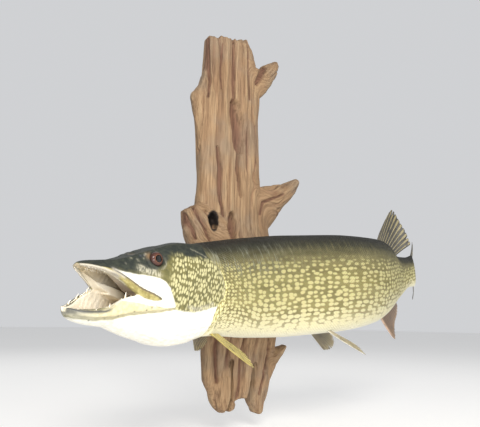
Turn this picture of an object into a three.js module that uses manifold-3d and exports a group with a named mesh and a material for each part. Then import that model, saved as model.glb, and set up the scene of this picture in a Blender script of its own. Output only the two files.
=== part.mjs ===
// A northern pike with its mouth open, mounted on an upright slab of driftwood.
// Millimetres, +Z up. The slab's flat back lies in the plane Y = 0, the wall, and the viewer
// is on the -Y side. The origin is on that back, where the slab hangs. The head is towards -X.
import * as THREE from 'three';
import { mergeVertices } from 'three/addons/utils/BufferGeometryUtils.js';
import Module from 'manifold-3d';

const wasm = await Module();
wasm.setup();

// ---------------------------------------------------------------- driving dimensions
const GAP = 0.3; // clearance between neighbouring pieces

// The body's axis: a curve of FISH_LENGTH, at fractions s from the snout to the tail's tips.
const FISH_LENGTH = 1100;
const ANCHOR_S = 0.3; // the axis passes through ANCHOR here
const ANCHOR = new THREE.Vector3(-99.2, -129.8, -322.3);
const AXIS_HEADING = curve([[0, 5.5], [0.28, 1.6], [0.5, -17.4], [0.75, 12],
  [0.84, 3], [1, 3]]); // degrees
const AXIS_CLIMB = 5.4; // degrees, the tail higher than the head

// Half sizes of the body about its axis.
const BACK = curve([[0.2, 72], [0.27, 80], [0.35, 89], [0.45, 95], [0.55, 95], [0.65, 91],
  [0.71, 88], [0.745, 82], [0.78, 65], [0.815, 50], [0.87, 47], [0.905, 53]]);
const BELLY = curve([[0.2, 87], [0.27, 91], [0.35, 103], [0.45, 111], [0.55, 112], [0.65, 105],
  [0.7, 94], [0.75, 78], [0.81, 56], [0.87, 33], [0.905, 31]]);
const FLANK = curve([[0.2, 52], [0.245, 55], [0.262, 58], [0.285, 62.5], [0.35, 66], [0.45, 66],
  [0.55, 64], [0.65, 56], [0.71, 47], [0.76, 38], [0.82, 26], [0.87, 16], [0.9, 10], [0.905, 6]]);
const BODY_ROUNDNESS = 2.25; // exponent of the section's oval
const TRUNK_START = 0.212;
const TRUNK_END = 0.8;
const TAIL_END = 0.905;
const TAIL_TURN = 22; // degrees that the tail fin bends towards the wall from the body's end
const TAIL_TWIST = 8; // degrees that it is turned about its own length

// The skull's own frame: x ahead of SKULL_S on the axis, y to the fish's left, z up.
const SKULL_S = 0.24;
const SKULL_HEADING = 11;
const SKULL_PITCH = 4.2;
const NAPE_X = 10; // the head's rear face
const SNOUT_X = 246;
const CROWN_Z = curve([[-25, 80], [10, 75.5], [59, 68], [95, 55], [123, 41.5], [148, 29.5],
  [169, 21.5], [192, 14.5], [206, 11.5], [228, 7.5], [241, 4], [246, 1.5]]);
const BROW_Y = curve([[-25, 36], [59, 31], [100, 28], [123, 28], [148, 25], [175, 21],
  [206, 18], [229, 13], [241, 8], [246, 3]]);
const BROW_Z = curve([[-25, 70], [59, 61.5], [95, 53], [123, 41.5], [148, 30.5], [169, 21.5],
  [192, 13.5], [206, 10.5], [228, 6], [241, 2.5], [246, 0.5]]);
const TEMPLE_Y = curve([[-25, 54], [30, 52], [59, 49], [95, 44], [125, 38.5], [148, 34.5],
  [175, 30], [202, 26], [224, 21], [239, 14], [246, 4.5]]);
const TEMPLE_Z = curve([[-25, 46], [59, 38], [95, 30], [125, 23], [148, 15], [175, 7.5],
  [206, 3], [232, 1], [246, -0.8]]);
const CHEEK_Y = curve([[-25, 61], [30, 61.5], [59, 60.5], [95, 56], [125, 48], [148, 41.5],
  [175, 34.5], [202, 29.5], [219, 25.5], [234, 19.5], [242, 12], [246, 5]]);
const CHEEK_Z = curve([[-25, 8], [59, 0], [95, -6], [125, -8], [148, -9], [175, -8],
  [202, -3.5], [232, -1.5], [246, -2]]);
const LIP_Y = curve([[-25, 62], [59, 61.5], [95, 58], [131, 50], [158, 42.5], [180, 36.5],
  [202, 31], [219, 27], [234, 21], [242, 13], [246, 5]]);

// The lip's line on each side. The mouth's right corner is pulled further forward.
const LIP_LEFT_Z = curve([[-25, -45], [95, -45], [130, -38.5], [158, -35.8], [168, -31],
  [183, -21.5], [200, -11.5], [217, -6.6], [232, -4.5], [246, -3.5]]);
const LIP_RIGHT_Z = curve([[-25, -45], [95, -45], [130, -38.5], [158, -35.8], [178, -33],
  [190, -29.5], [206, -20], [220, -12.6], [235, -6.5], [246, -3.5]]);
const lipZ = (x, side) => (side > 0 ? LIP_LEFT_Z(x) : LIP_RIGHT_Z(x));

// The lower jaw and throat, in the skull's frame.
const JAW_TIP_X = 257;
const JAW_HINGE_X = 96;
const RIM_Y = curve([[-25, 62], [59, 61.5], [95, 57.5], [131, 50.5], [158, 43.5], [180, 38],
  [205, 32], [225, 27], [242, 20.5], [252, 13], [257, 5]]);
const LEFT_CORNER_X = 158; // behind a corner the head's two halves meet along the lip's line
const RIGHT_CORNER_X = 190;
const RIM_LEFT_Z = curve([[158, -35.8], [172, -40], [185, -46], [192, -52], [200, -58.5],
  [212, -63.5], [228, -66.5], [246, -66], [257, -64]]);
const RIM_RIGHT_Z = curve([[190, -29.5], [208, -39], [220, -46], [232, -54], [244, -59.5],
  [257, -62.5]]);
const CHIN_Z = curve([[-25, -92], [10, -95], [35, -103], [69, -108], [85, -107], [104, -103.5],
  [130, -99], [150, -95], [172, -89.5], [187, -86], [218, -84.7], [242, -81], [252, -76],
  [257, -69]]);
const CHIN_ROUNDNESS = 2.3;
const THROAT_FRONT = { x: 236, z: -83 }; // the jaw bone's lower edge runs from here
const THROAT_REAR = { x: 95, z: -62 }; // to here, at the hinge
const rimZ = (x, side) => {
  if (side > 0) return x < LEFT_CORNER_X ? lipZ(x, side) : RIM_LEFT_Z(x);
  return x < RIGHT_CORNER_X ? lipZ(x, side) : RIM_RIGHT_Z(x);
};

// The mouth's inside.
const PALATE_Z = curve([[52, -24], [70, -12], [90, -5], [120, 0], [160, 1.5], [195, 0],
  [228, -1], [246, -2.4], [270, -3]]);
const FLOOR_Z = curve([[52, -34], [70, -54], [90, -70], [120, -80], [150, -82], [195, -77],
  [228, -73.5], [246, -70], [270, -64]]);
const MOUTH_Y = curve([[52, 12], [70, 26], [90, 35], [120, 40], [150, 38], [175, 32.5],
  [195, 27.5], [218, 21.5], [234, 14.5], [247, 8], [270, 5]]);
const MOUTH_FRONT_X = 267;
const MOUTH_BACK_X = 52;
const MOUTH_ROUNDNESS = 2.6;

const EYE = { at: [127, 35, 23], across: 25, bulge: 8.2 };
const MAXILLA_THICK = 2.6;
const GILL_THICK = 3.4;

// The slab of driftwood: its left and right edges and its depth from the wall, by height.
const SLAB_TOP = 290;
const SLAB_FOOT = -548;
const SLAB_LEFT = curve([[-560, 0], [-535, -34], [-504, -52], [-437, -57], [-330, -60],
  [-225, -72], [-150, -84], [-100, -80], [-52, -84], [37, -92], [80, -102], [95, -106],
  [120, -90], [173, -76], [290, -74]]);
const SLAB_RIGHT = curve([[-584, 118], [-546, 115], [-499, 126], [-440, 142], [-300, 140],
  [-192, 119], [-156, 115], [-100, 96], [-37, 88], [62, 84], [150, 90], [226, 76], [290, 48]]);
const SLAB_DEPTH = curve([[-585, 34], [-540, 52], [-450, 64], [-400, 76], [-330, 84], [-250, 80],
  [-170, 66], [0, 62], [150, 60], [250, 54], [290, 46]]);

// ---------------------------------------------------------------- curves and frames
// A smooth monotone curve through a few [place, value] stations.
function curve(stations) {
  const x = stations.map((s) => s[0]);
  const y = stations.map((s) => s[1]);
  const width = x.slice(1).map((v, i) => v - x[i]);
  const rise = width.map((w, i) => (y[i + 1] - y[i]) / w);
  const slope = x.map((_, i) => {
    if (i === 0) return rise[0];
    if (i === x.length - 1) return rise[i - 1];
    if (rise[i - 1] * rise[i] <= 0) return 0;
    const before = 2 * width[i] + width[i - 1];
    const after = width[i] + 2 * width[i - 1];
    return (before + after) / (before / rise[i - 1] + after / rise[i]);
  });
  return (at) => {
    const v = THREE.MathUtils.clamp(at, x[0], x[x.length - 1]);
    let i = 0;
    while (i < width.length - 1 && v > x[i + 1]) i += 1;
    const t = (v - x[i]) / width[i];
    const bend = t * t * (3 - 2 * t);
    const start = t * (1 - t) * (1 - t);
    const end = t * t * (t - 1);
    return y[i] + bend * (y[i + 1] - y[i]) + width[i] * (start * slope[i] + end * slope[i + 1]);
  };
}

const radians = THREE.MathUtils.degToRad;
const mix = THREE.MathUtils.lerp;
const point = (x, y, z) => new THREE.Vector3(x, y, z);
const range = (n, from = 0, to = 1) =>
  Array.from({ length: n + 1 }, (_, i) => mix(from, to, i / n));

function tailward(s) {
  const heading = radians(AXIS_HEADING(s));
  const climb = radians(AXIS_CLIMB);
  return point(
    Math.cos(heading) * Math.cos(climb), Math.sin(heading) * Math.cos(climb), Math.sin(climb));
}

// The axis as points a small step apart, added up from the anchor.
const AXIS_STEPS = 200;
const axisPoints = (() => {
  const points = [point(0, 0, 0)];
  for (let i = 0; i < AXIS_STEPS; i += 1) {
    const middle = tailward((i + 0.5) / AXIS_STEPS);
    points.push(points[i].clone().addScaledVector(middle, FISH_LENGTH / AXIS_STEPS));
  }
  const shift = ANCHOR.clone().sub(points[ANCHOR_S * AXIS_STEPS]);
  return points.map((p) => p.add(shift));
})();

// Origin, tailward, left and up directions of the body at a fraction s.
function bodyFrame(s) {
  const i = Math.min(AXIS_STEPS - 1, Math.floor(s * AXIS_STEPS));
  const origin = axisPoints[i].clone().lerp(axisPoints[i + 1], s * AXIS_STEPS - i);
  const back = tailward(s);
  const left = point(back.y, -back.x, 0).normalize();
  const up = left.clone().cross(back);
  return { origin, back, left, up };
}

function bodyPoint(s, side, height) {
  const f = bodyFrame(s);
  return f.origin.addScaledVector(f.left, side).addScaledVector(f.up, height);
}

function skullMatrix() {
  const heading = radians(SKULL_HEADING);
  const pitch = radians(SKULL_PITCH);
  const ahead = point(-Math.cos(heading) * Math.cos(pitch),
    -Math.sin(heading) * Math.cos(pitch), Math.sin(pitch));
  const left = point(Math.sin(heading), -Math.cos(heading), 0);
  const up = ahead.clone().cross(left);
  return new THREE.Matrix4().makeBasis(ahead, left, up).setPosition(bodyFrame(SKULL_S).origin);
}

// ---------------------------------------------------------------- solids
// A closed body through rings of equally many points, capped at both ends round their middles.
function loft(rings) {
  const n = rings[0].length;
  const points = rings.flat();
  const triangles = [];
  for (let r = 0; r + 1 < rings.length; r += 1) {
    for (let k = 0; k < n; k += 1) {
      const a = r * n + k;
      const b = r * n + ((k + 1) % n);
      triangles.push(a, b, a + n, b, b + n, a + n);
    }
  }
  for (const [start, flip] of [[0, true], [(rings.length - 1) * n, false]]) {
    const ring = points.slice(start, start + n);
    const middle = ring.reduce((sum, p) => sum.add(p), point(0, 0, 0)).divideScalar(n);
    const centre = points.push(middle) - 1;
    for (let k = 0; k < n; k += 1) {
      const a = start + k;
      const b = start + ((k + 1) % n);
      triangles.push(...(flip ? [b, a, centre] : [a, b, centre]));
    }
  }
  return solid(points, triangles);
}

// Points and triangles as a manifold solid that faces outwards.
function solid(points, triangles) {
  const make = (order) => new wasm.Manifold(new wasm.Mesh({
    numProp: 3,
    vertProperties: new Float32Array(points.flatMap((p) => [p.x, p.y, p.z])),
    triVerts: new Uint32Array(order),
  }));
  const made = make(triangles);
  if (made.volume() > 0) return made;
  const turned = [];
  for (let i = 0; i < triangles.length; i += 3) {
    turned.push(triangles[i], triangles[i + 2], triangles[i + 1]);
  }
  return make(turned);
}

// A three.js geometry as a manifold solid.
function solidOf(geometry) {
  const bare = geometry.clone().deleteAttribute('normal').deleteAttribute('uv');
  const merged = mergeVertices(bare, 1e-3);
  return new wasm.Manifold(new wasm.Mesh({
    numProp: 3,
    vertProperties: merged.attributes.position.array,
    triVerts: new Uint32Array(merged.index.array),
  }));
}

function geometryOf(made) {
  const mesh = made.getMesh();
  const geometry = new THREE.BufferGeometry();
  geometry.setAttribute('position', new THREE.BufferAttribute(mesh.vertProperties, 3));
  geometry.setIndex(new THREE.BufferAttribute(mesh.triVerts, 1));
  geometry.computeVertexNormals();
  return geometry;
}

// A block between two corners.
function block(low, high) {
  const size = high.map((v, i) => v - low[i]);
  const geometry = new THREE.BoxGeometry(...size);
  geometry.translate(...high.map((v, i) => (v + low[i]) / 2));
  return solidOf(geometry);
}

// A prism: an outline in the skull's x-z plane, from y0 to y1.
function sidePrism(outline, y0, y1) {
  const shape = new THREE.Shape(outline);
  const geometry = new THREE.ExtrudeGeometry(shape, { depth: y1 - y0, bevelEnabled: false });
  geometry.rotateX(Math.PI / 2).translate(0, y1, 0);
  return solidOf(geometry);
}

// A smooth closed outline through a few [x, z] points, moved outwards by grow.
function smoothOutline(corners, steps, grow) {
  const spline = new THREE.CatmullRomCurve3(
    corners.map(([x, z]) => point(x, z, 0)), true, 'centripetal');
  const points = spline.getPoints(steps).slice(0, -1);
  const area = THREE.ShapeUtils.area(points);
  return points.map((p, i) => {
    const next = points[(i + 1) % points.length];
    const last = points[(i + points.length - 1) % points.length];
    const along = next.clone().sub(last).normalize();
    const out = new THREE.Vector2(along.y, -along.x).multiplyScalar(Math.sign(area) * grow);
    return new THREE.Vector2(p.x, p.y).add(out);
  });
}

// An oval's points: half width, height above and below the middle, and how square it is.
function oval(count, width, above, below, roundness) {
  const power = 2 / roundness;
  const bent = (v) => Math.sign(v) * Math.abs(v) ** power;
  return range(count, 0, 2 * Math.PI).slice(0, -1).map((angle) => {
    const height = bent(Math.sin(angle));
    return [width * bent(Math.cos(angle)), height > 0 ? above * height : below * height];
  });
}

// ---------------------------------------------------------------- body
const AROUND_BODY = 22;
const TRUNK_STEPS = 18;
const TAIL_STEPS = 5;

function bodyLoft(from, to, steps, grow) {
  return loft(range(steps, from, to).map((s) => oval(
    AROUND_BODY, FLANK(s) + grow, BACK(s) + grow, BELLY(s) + grow, BODY_ROUNDNESS,
  ).map(([side, height]) => bodyPoint(s, side, height))));
}

// ---------------------------------------------------------------- head
// Half a section of the skull and upper jaw, from the crown down one side, grown outwards.
function upperHalf(x, grow, side) {
  const key = [[0, CROWN_Z(x)], [BROW_Y(x) * 0.6, mix(CROWN_Z(x), BROW_Z(x), 0.45)],
    [BROW_Y(x), BROW_Z(x)], [TEMPLE_Y(x), TEMPLE_Z(x)], [CHEEK_Y(x), CHEEK_Z(x)],
    [LIP_Y(x), lipZ(x, side)]];
  const spline = new THREE.SplineCurve(key.map(([y, z]) => new THREE.Vector2(y, z)));
  return spline.getPoints(8).map((p, i, all) => {
    const next = all[Math.min(i + 1, all.length - 1)];
    const last = all[Math.max(i - 1, 0)];
    const along = next.clone().sub(last).normalize();
    const out = i === 0 ? 0 : p.x - along.y * grow;
    const rise = i === all.length - 1 ? 0 : along.x * grow;
    return [side * out, p.y + rise];
  });
}

// Half a section of the lower jaw and throat, from the middle of its floor out to the rim.
function lowerHalf(x, grow, side) {
  const rim = rimZ(x, side);
  const drop = rim - CHIN_Z(x) + grow;
  const power = 2 / CHIN_ROUNDNESS;
  return range(6, Math.PI / 2, 0).map((angle) => [
    side * (RIM_Y(x) + grow) * Math.cos(angle) ** power, rim - drop * Math.sin(angle) ** power]);
}

// Both halves of the head are lofted through these, so their shared seam is the same line.
const STATIONS = [-25, -3, 18, 40, 62, 80, 95, 112, 131, 145, 158, 169, 180, 190, 202, 214, 225,
  235, 242, 246, 252];

// A loft along the head. Each section runs down the left half and back up the right one.
function headLoft(from, to, half, middleZ) {
  const inner = STATIONS.filter((x) => x > from + 2 && x < to - 2);
  return loft([from, ...inner, to].map((x) => {
    const left = half(x, 1);
    const right = half(x, -1).slice(1).reverse();
    return [...left, [0, middleZ(x)], ...right].map(([y, z]) => point(x, y, z));
  }));
}

const upperHead = (from, to, grow) => headLoft(
  from, to, (x, side) => upperHalf(x, grow, side), (x) => (lipZ(x, 1) + lipZ(x, -1)) / 2);

const lowerHead = (from, to, grow) => headLoft(
  from, to, (x, side) => lowerHalf(x, grow, side), (x) => (rimZ(x, 1) + rimZ(x, -1)) / 2)
  .translate([0, 0, -GAP]);

// Both halves as one, with no gap along their seam.
function wholeHead(from, to, grow) {
  const lift = GAP + 0.1;
  return upperHead(from, to, grow).add(lowerHead(from, to, grow).translate([0, 0, lift]));
}

function mouth() {
  return loft(range(11, MOUTH_BACK_X, MOUTH_FRONT_X).map((x) => {
    const middle = (PALATE_Z(x) + FLOOR_Z(x)) / 2;
    const half = (PALATE_Z(x) - FLOOR_Z(x)) / 2;
    return oval(14, MOUTH_Y(x), half, half, MOUTH_ROUNDNESS)
      .map(([y, z]) => point(x, y, middle + z));
  }));
}

// The bony plates of one gill cover: the head's side between two depths, within an outline.
const GILL_OUTLINE = [[46, 57], [60, 34], [66, 4], [66, -26], [76, -50], [84, -64], [58, -72],
  [28, -72], [3, -64], [-13, -44], [-20, -20], [-20, 12], [-15, 32], [0, 55], [22, 62]];

function gillCover(side, grow) {
  const outline = smoothOutline(GILL_OUTLINE, 22, grow);
  const prism = side > 0 ? sidePrism(outline, 18, 90) : sidePrism(outline, -90, -18);
  const under = wholeHead(-26, 101, -GILL_THICK - grow);
  return prism.intersect(wholeHead(-25, 100, grow).subtract(under));
}

// The blade of bone along the mouth's upper edge, which swings down as the mouth opens.
const MAXILLA_OUTLINE = [[222, -3.4], [209, -3.4], [198, -5.5], [176, -14.5], [155, -25.5],
  [136, -31.5], [123, -38], [131, -41.5], [149, -40.5], [160, -37], [170, -31.5], [184, -21.8],
  [200, -12.5], [213, -8.5]];

function maxilla(side) {
  const onSide = ([x, z]) => [x, z + lipZ(x, side) - lipZ(x, 1)];
  const outline = smoothOutline(MAXILLA_OUTLINE.map(onSide), 18, 0);
  const prism = side > 0 ? sidePrism(outline, 15, 90) : sidePrism(outline, -90, -15);
  const head = wholeHead(95, 242, GAP + 0.1);
  const under = head.add(head.translate([0, 0, -1.5])); // nothing of the blade lies below the lip
  return prism.intersect(wholeHead(112, 235, MAXILLA_THICK).subtract(under));
}

// Pointed teeth: places along the jaw, and which way they point.
function tooth(base, tip, radius) {
  const axis = tip.clone().sub(base);
  const geometry = new THREE.ConeGeometry(radius, axis.length(), 5);
  geometry.translate(0, axis.length() / 2, 0);
  geometry.applyQuaternion(
    new THREE.Quaternion().setFromUnitVectors(point(0, 1, 0), axis.normalize()));
  geometry.translate(base.x, base.y, base.z);
  return solidOf(geometry);
}

function lowerTeeth() {
  const length = curve([[165, 7.5], [185, 10], [205, 8.5], [228, 6.5], [252, 3.5]]);
  const row = (side, from) => range(5, from, 249).map((x) => {
    const y = side * (RIM_Y(x) - 4.2);
    const z = rimZ(x, side);
    return tooth(point(x, y, z - 2.5), point(x - 2, y - side * 1.5, z + length(x)), 1.6);
  });
  return [...row(1, LEFT_CORNER_X + 18), ...row(-1, RIGHT_CORNER_X + 8)];
}

function upperTeeth() {
  const row = (side, from) => range(4, from, 239).map((x) => {
    const y = side * (LIP_Y(x) - 3.2);
    const z = lipZ(x, side);
    return tooth(point(x, y, z + 2), point(x - 2, y, z - 3), 1.1);
  });
  return [...row(1, 184), ...row(-1, 204)];
}

const union = (parts) => parts.reduce((sum, part) => sum.add(part));

function buildHead() {
  const mouthHole = mouth();
  const [ex, ey, ez] = EYE.at;
  const socket = (side) => solidOf(new THREE.SphereGeometry(1, 12, 7)
    .scale(EYE.across / 2 + GAP, EYE.bulge + GAP, EYE.across / 2 + GAP)
    .translate(ex, side * ey, ez));
  const skull = upperHead(NAPE_X, SNOUT_X, 0).subtract(mouthHole)
    .subtract(gillCover(1, GAP)).subtract(gillCover(-1, GAP));
  return union([skull, ...upperTeeth()]).subtract(socket(1)).subtract(socket(-1));
}

// A half-space below the jaw bone's lower edge, and behind the hinge, as one prism.
function throatPrism(grow) {
  const { x: fx, z: fz } = THROAT_FRONT;
  const { x: rx, z: rz } = THROAT_REAR;
  const run = (x) => mix(fz, rz, (x - fx) / (rx - fx));
  const outline = [[-60, 0], [JAW_HINGE_X + grow, 0], [JAW_HINGE_X + grow, run(rx) + grow],
    [280, run(280) + grow], [280, -150], [-60, -150]];
  return sidePrism(outline.map(([x, z]) => new THREE.Vector2(x, z)), -100, 100);
}

function buildLowerJaw() {
  const jaw = lowerHead(60, JAW_TIP_X, 0).subtract(mouth()).subtract(throatPrism(GAP))
    .subtract(gillCover(1, GAP)).subtract(gillCover(-1, GAP));
  return union([jaw, ...lowerTeeth()]);
}

function buildThroat() {
  return lowerHead(NAPE_X, JAW_TIP_X, 0).intersect(throatPrism(0)).subtract(mouth())
    .subtract(gillCover(1, GAP)).subtract(gillCover(-1, GAP));
}

// The tongue: a low spade lying on the mouth's floor.
function buildTongue() {
  const halfWidth = curve([[84, 12], [110, 13], [150, 12], [180, 10], [194, 5], [198, 2]]);
  const lift = 2;
  return loft(range(7, 84, 198).map((x) => oval(10, halfWidth(x), 3.2, 2.2, 2)
    .map(([y, z]) => point(x, y, FLOOR_Z(x) + lift + 3 + z))));
}

// ---------------------------------------------------------------- fins
// A thin sheet: rays from a base line, a length for each, a sideways bow, thin at the edge.
function fin({ base, ray, sideways, bow, root = 2.4, edge = 0.7, across = 9, out = 4 }) {
  const place = (u, v, face) => {
    const side = sideways(u);
    const thick = mix(root, edge, Math.sqrt(v)) * (u === 0 || u === 1 ? 0.6 : 1);
    return base(u).addScaledVector(ray(u), v)
      .addScaledVector(side, bow(u) * v * v + face * thick);
  };
  return loft(range(across).map((u) => [
    ...range(out).map((v) => place(u, v, 1)), ...range(out, 1, 0).map((v) => place(u, v, -1))]));
}

// A fin in the body's middle plane: its base between two fractions s, and its rays' lean.
function middleFin({ from, to, edgeOf, up, lean, length, bow }) {
  return fin({
    base: (u) => bodyPoint(mix(from, to, u), 0, up * (edgeOf(mix(from, to, u)) - 2.5)),
    ray: (u) => {
      const f = bodyFrame(mix(from, to, u));
      const angle = radians(mix(lean[0], lean[1], u));
      return f.up.multiplyScalar(up * Math.cos(angle) * length(u))
        .addScaledVector(f.back, Math.sin(angle) * length(u));
    },
    sideways: (u) => bodyFrame(mix(from, to, u)).left,
    bow,
  });
}

function caudalFin() {
  const length = curve([[0, 112], [0.12, 125], [0.3, 100], [0.5, 75], [0.7, 100], [0.88, 125],
    [1, 112]]);
  const f = bodyFrame(TAIL_END);
  const turn = radians(TAIL_TURN);
  const back = f.back.clone().multiplyScalar(Math.cos(turn))
    .addScaledVector(f.left, -Math.sin(turn));
  const twist = radians(TAIL_TWIST);
  const rise = f.up.clone().multiplyScalar(Math.cos(twist))
    .addScaledVector(new THREE.Vector3().crossVectors(back, f.up), Math.sin(twist));
  const side = new THREE.Vector3().crossVectors(back, rise);
  return fin({
    base: (u) => bodyPoint(TAIL_END - 0.003, 0, mix(49, -28, u)),
    ray: (u) => {
      const angle = radians(mix(24, -24, u));
      return back.clone().multiplyScalar(Math.cos(angle) * length(u))
        .addScaledVector(rise, Math.sin(angle) * length(u));
    },
    sideways: () => side,
    bow: () => -6,
    root: 4.5,
    across: 11,
  });
}

// A paired fin: a short base on the body's lower side and a fan of rays.
function pairedFin({ s, side, height, baseLength, hand, ahead, behind, length, bow }) {
  const f = bodyFrame(s);
  const turn = ([back, left, up]) => f.back.clone().multiplyScalar(back)
    .addScaledVector(f.left, hand * left).addScaledVector(f.up, up).normalize();
  const first = turn(ahead);
  const last = turn(behind);
  const normal = first.clone().cross(last).normalize();
  const start = bodyPoint(s, hand * side, height);
  const run = f.back.clone().addScaledVector(f.up, 0.1).normalize();
  return fin({
    base: (u) => start.clone().addScaledVector(run, u * baseLength),
    ray: (u) => first.clone().lerp(last, u).normalize().multiplyScalar(length(u)),
    sideways: () => normal,
    bow: () => bow,
    root: 3,
    across: 7,
    out: 3,
  });
}

// Where each paired fin leaves the body, and its first and last rays as parts of the body's
// tailward, outward and upward directions. The left ones are folded, the right ones spread.
const PECTORAL_LENGTH = curve([[0, 92], [0.3, 103], [0.65, 88], [1, 58]]);
const PELVIC_LENGTH = curve([[0, 86], [0.3, 93], [0.65, 80], [1, 52]]);
const PAIRED_FINS = {
  pectoral_fin_left: { s: 0.259, side: 22, height: -86, baseLength: 13, hand: 1,
    ahead: [0.63, 0.33, -0.7], behind: [0.75, 0.19, -0.65], length: PECTORAL_LENGTH, bow: 4 },
  pectoral_fin_right: { s: 0.257, side: 30, height: -80, baseLength: 17, hand: -1,
    ahead: [0.54, 0.56, -0.54], behind: [0.75, 0.4, -0.38],
    length: (u) => 0.92 * PECTORAL_LENGTH(u), bow: -4 },
  pelvic_fin_left: { s: 0.512, side: 20, height: -102, baseLength: 8, hand: 1,
    ahead: [0.6, 0.48, -0.62], behind: [0.76, 0.26, -0.6],
    length: (u) => 1.06 * PELVIC_LENGTH(u), bow: 4 },
  pelvic_fin_right: { s: 0.5, side: 30, height: -96, baseLength: 22, hand: -1,
    ahead: [0.68, 0.3, -0.68], behind: [0.92, 0.1, -0.5],
    length: (u) => 1.05 * PELVIC_LENGTH(u), bow: -4 },
};

// ---------------------------------------------------------------- driftwood
// Weathered relief of the front: a wandering central groove and shallow flutes beside it.
function slabRelief(x, z) {
  const groove = 28 + 10 * Math.sin(z / 95) + 5 * Math.sin(z / 31);
  const away = (x - groove) / 13;
  return 13 * Math.exp(-away * away) + 2.4 * Math.sin(x / 9 + 2 * Math.sin(z / 120));
}

const SIDE_Y = 27; // the sides are widest this far from the wall
const FRONT_STEPS = 10;
function slabBody() {
  return loft(range(21, SLAB_FOOT, SLAB_TOP).map((z) => {
    const left = SLAB_LEFT(z);
    const right = SLAB_RIGHT(z);
    const depth = SLAB_DEPTH(z);
    const rings = range(FRONT_STEPS).map((t) => {
      const x = mix(left, right, (1 - Math.cos(Math.PI * t)) / 2);
      const shoulder = Math.sin(Math.PI * t) ** 0.6;
      const relief = slabRelief(x, z) * shoulder;
      return point(x, -(SIDE_Y + (depth - SIDE_Y) * shoulder - relief), z);
    });
    const turnIn = [point(right - 4, -13, z), point(right - 20, 0, z), point(left + 26, 0, z),
      point(left + 9, -11, z)];
    return [...rings, ...turnIn];
  }));
}

// A broken branch: ovals along a bent line, rx in the slab's plane and ry towards the front.
function snag(stops) {
  const line = new THREE.CatmullRomCurve3(stops.map(([x, y, z]) => point(x, y, z)));
  const rx = curve(stops.map((stop, i) => [i / (stops.length - 1), stop[3]]));
  const ry = curve(stops.map((stop, i) => [i / (stops.length - 1), stop[4]]));
  return loft(range(5).map((t) => {
    const at = line.getPoint(t);
    const along = line.getTangent(t);
    const wide = point(along.z, 0, -along.x).normalize();
    const deep = wide.clone().cross(along).normalize();
    return oval(9, rx(t), ry(t), ry(t), 2.2)
      .map(([a, b]) => at.clone().addScaledVector(wide, a).addScaledVector(deep, b));
  }));
}

const SNAGS = [
  [[45, -30, 160, 46, 27], [95, -31, 195, 33, 25], [132, -34, 232, 18, 17], [150, -36, 256, 9, 10]],
  [[65, -32, -150, 60, 29], [125, -33, -112, 42, 26], [180, -35, -78, 23, 18],
    [224, -38, -42, 8, 9]],
  [[-30, -34, -262, 52, 28], [-82, -34, -200, 36, 25], [-106, -34, -160, 20, 17]],
  [[105, -30, -490, 34, 25], [146, -31, -462, 17, 17], [183, -32, -444, 6, 8]],
];
const LEGS = [
  [[-2, -31, -500, 44, 27], [0, -30, -540, 32, 25], [12, -28, -568, 15, 18]],
  [[95, -30, -500, 34, 27], [93, -29, -545, 25, 24], [98, -27, -582, 13, 17]],
];

function buildDriftwood(fishAbout) {
  const hole = solidOf(new THREE.CylinderGeometry(1, 1, 200, 10)
    .scale(8, 1, 17).translate(-60, -60, -187));
  const split = loft([[-120, 8], [0, 8], [30, 8]].map(([y, half]) => [
    point(66 - half * 0.5, y, -480), point(66 + half * 0.5, y, -480),
    point(63 + half, y, -560), point(60 + half, y, -600), point(48 - half, y, -600),
    point(56 - half, y, -560)]));
  const behindWall = block([-300, 0, -700], [400, 90, 400]);
  const brokenTop = block([-300, -200, 0], [300, 100, 90])
    .transform(new THREE.Matrix4().makeRotationY(-0.3).setPosition(-76, 0, 240).elements);
  return union([slabBody(), ...SNAGS.map(snag), ...LEGS.map(snag)]).subtract(brokenTop)
    .subtract(hole).subtract(split).subtract(behindWall).subtract(fishAbout);
}

// ---------------------------------------------------------------- assembly
const part = new THREE.Group();
const skull = new THREE.Group();
skull.applyMatrix4(skullMatrix());
part.add(skull);

function add(group, name, made, colour, roughness) {
  const material = new THREE.MeshStandardMaterial({ color: colour, roughness, metalness: 0 });
  const mesh = new THREE.Mesh(geometryOf(made), material);
  mesh.name = name;
  group.add(mesh);
  return mesh;
}

const OLIVE = 0x7d7a4c;
const FLANK_GOLD = 0xb9ab77;
const CREAM = 0xece8dc;
const FIN_OLIVE = 0x8d8566;
const WOOD = 0xac8f70;

// What the trunk and the covers keep clear of each other.
const inWorld = (made) => made.transform(skullMatrix().elements);
const headSpace = inWorld(block([NAPE_X - GAP, -150, -200], [400, 150, 200]));
const covers = [1, -1].map((side) => inWorld(gillCover(side, GAP)));
const trunk = bodyLoft(TRUNK_START, TRUNK_END, TRUNK_STEPS, 0).subtract(headSpace)
  .subtract(covers[0]).subtract(covers[1]);
const bodySpace = bodyLoft(TRUNK_START, TRUNK_END, TRUNK_STEPS, GAP + 0.1)
  .add(bodyLoft(TRUNK_END - 0.001, TAIL_END, TAIL_STEPS, GAP + 0.1));

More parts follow.
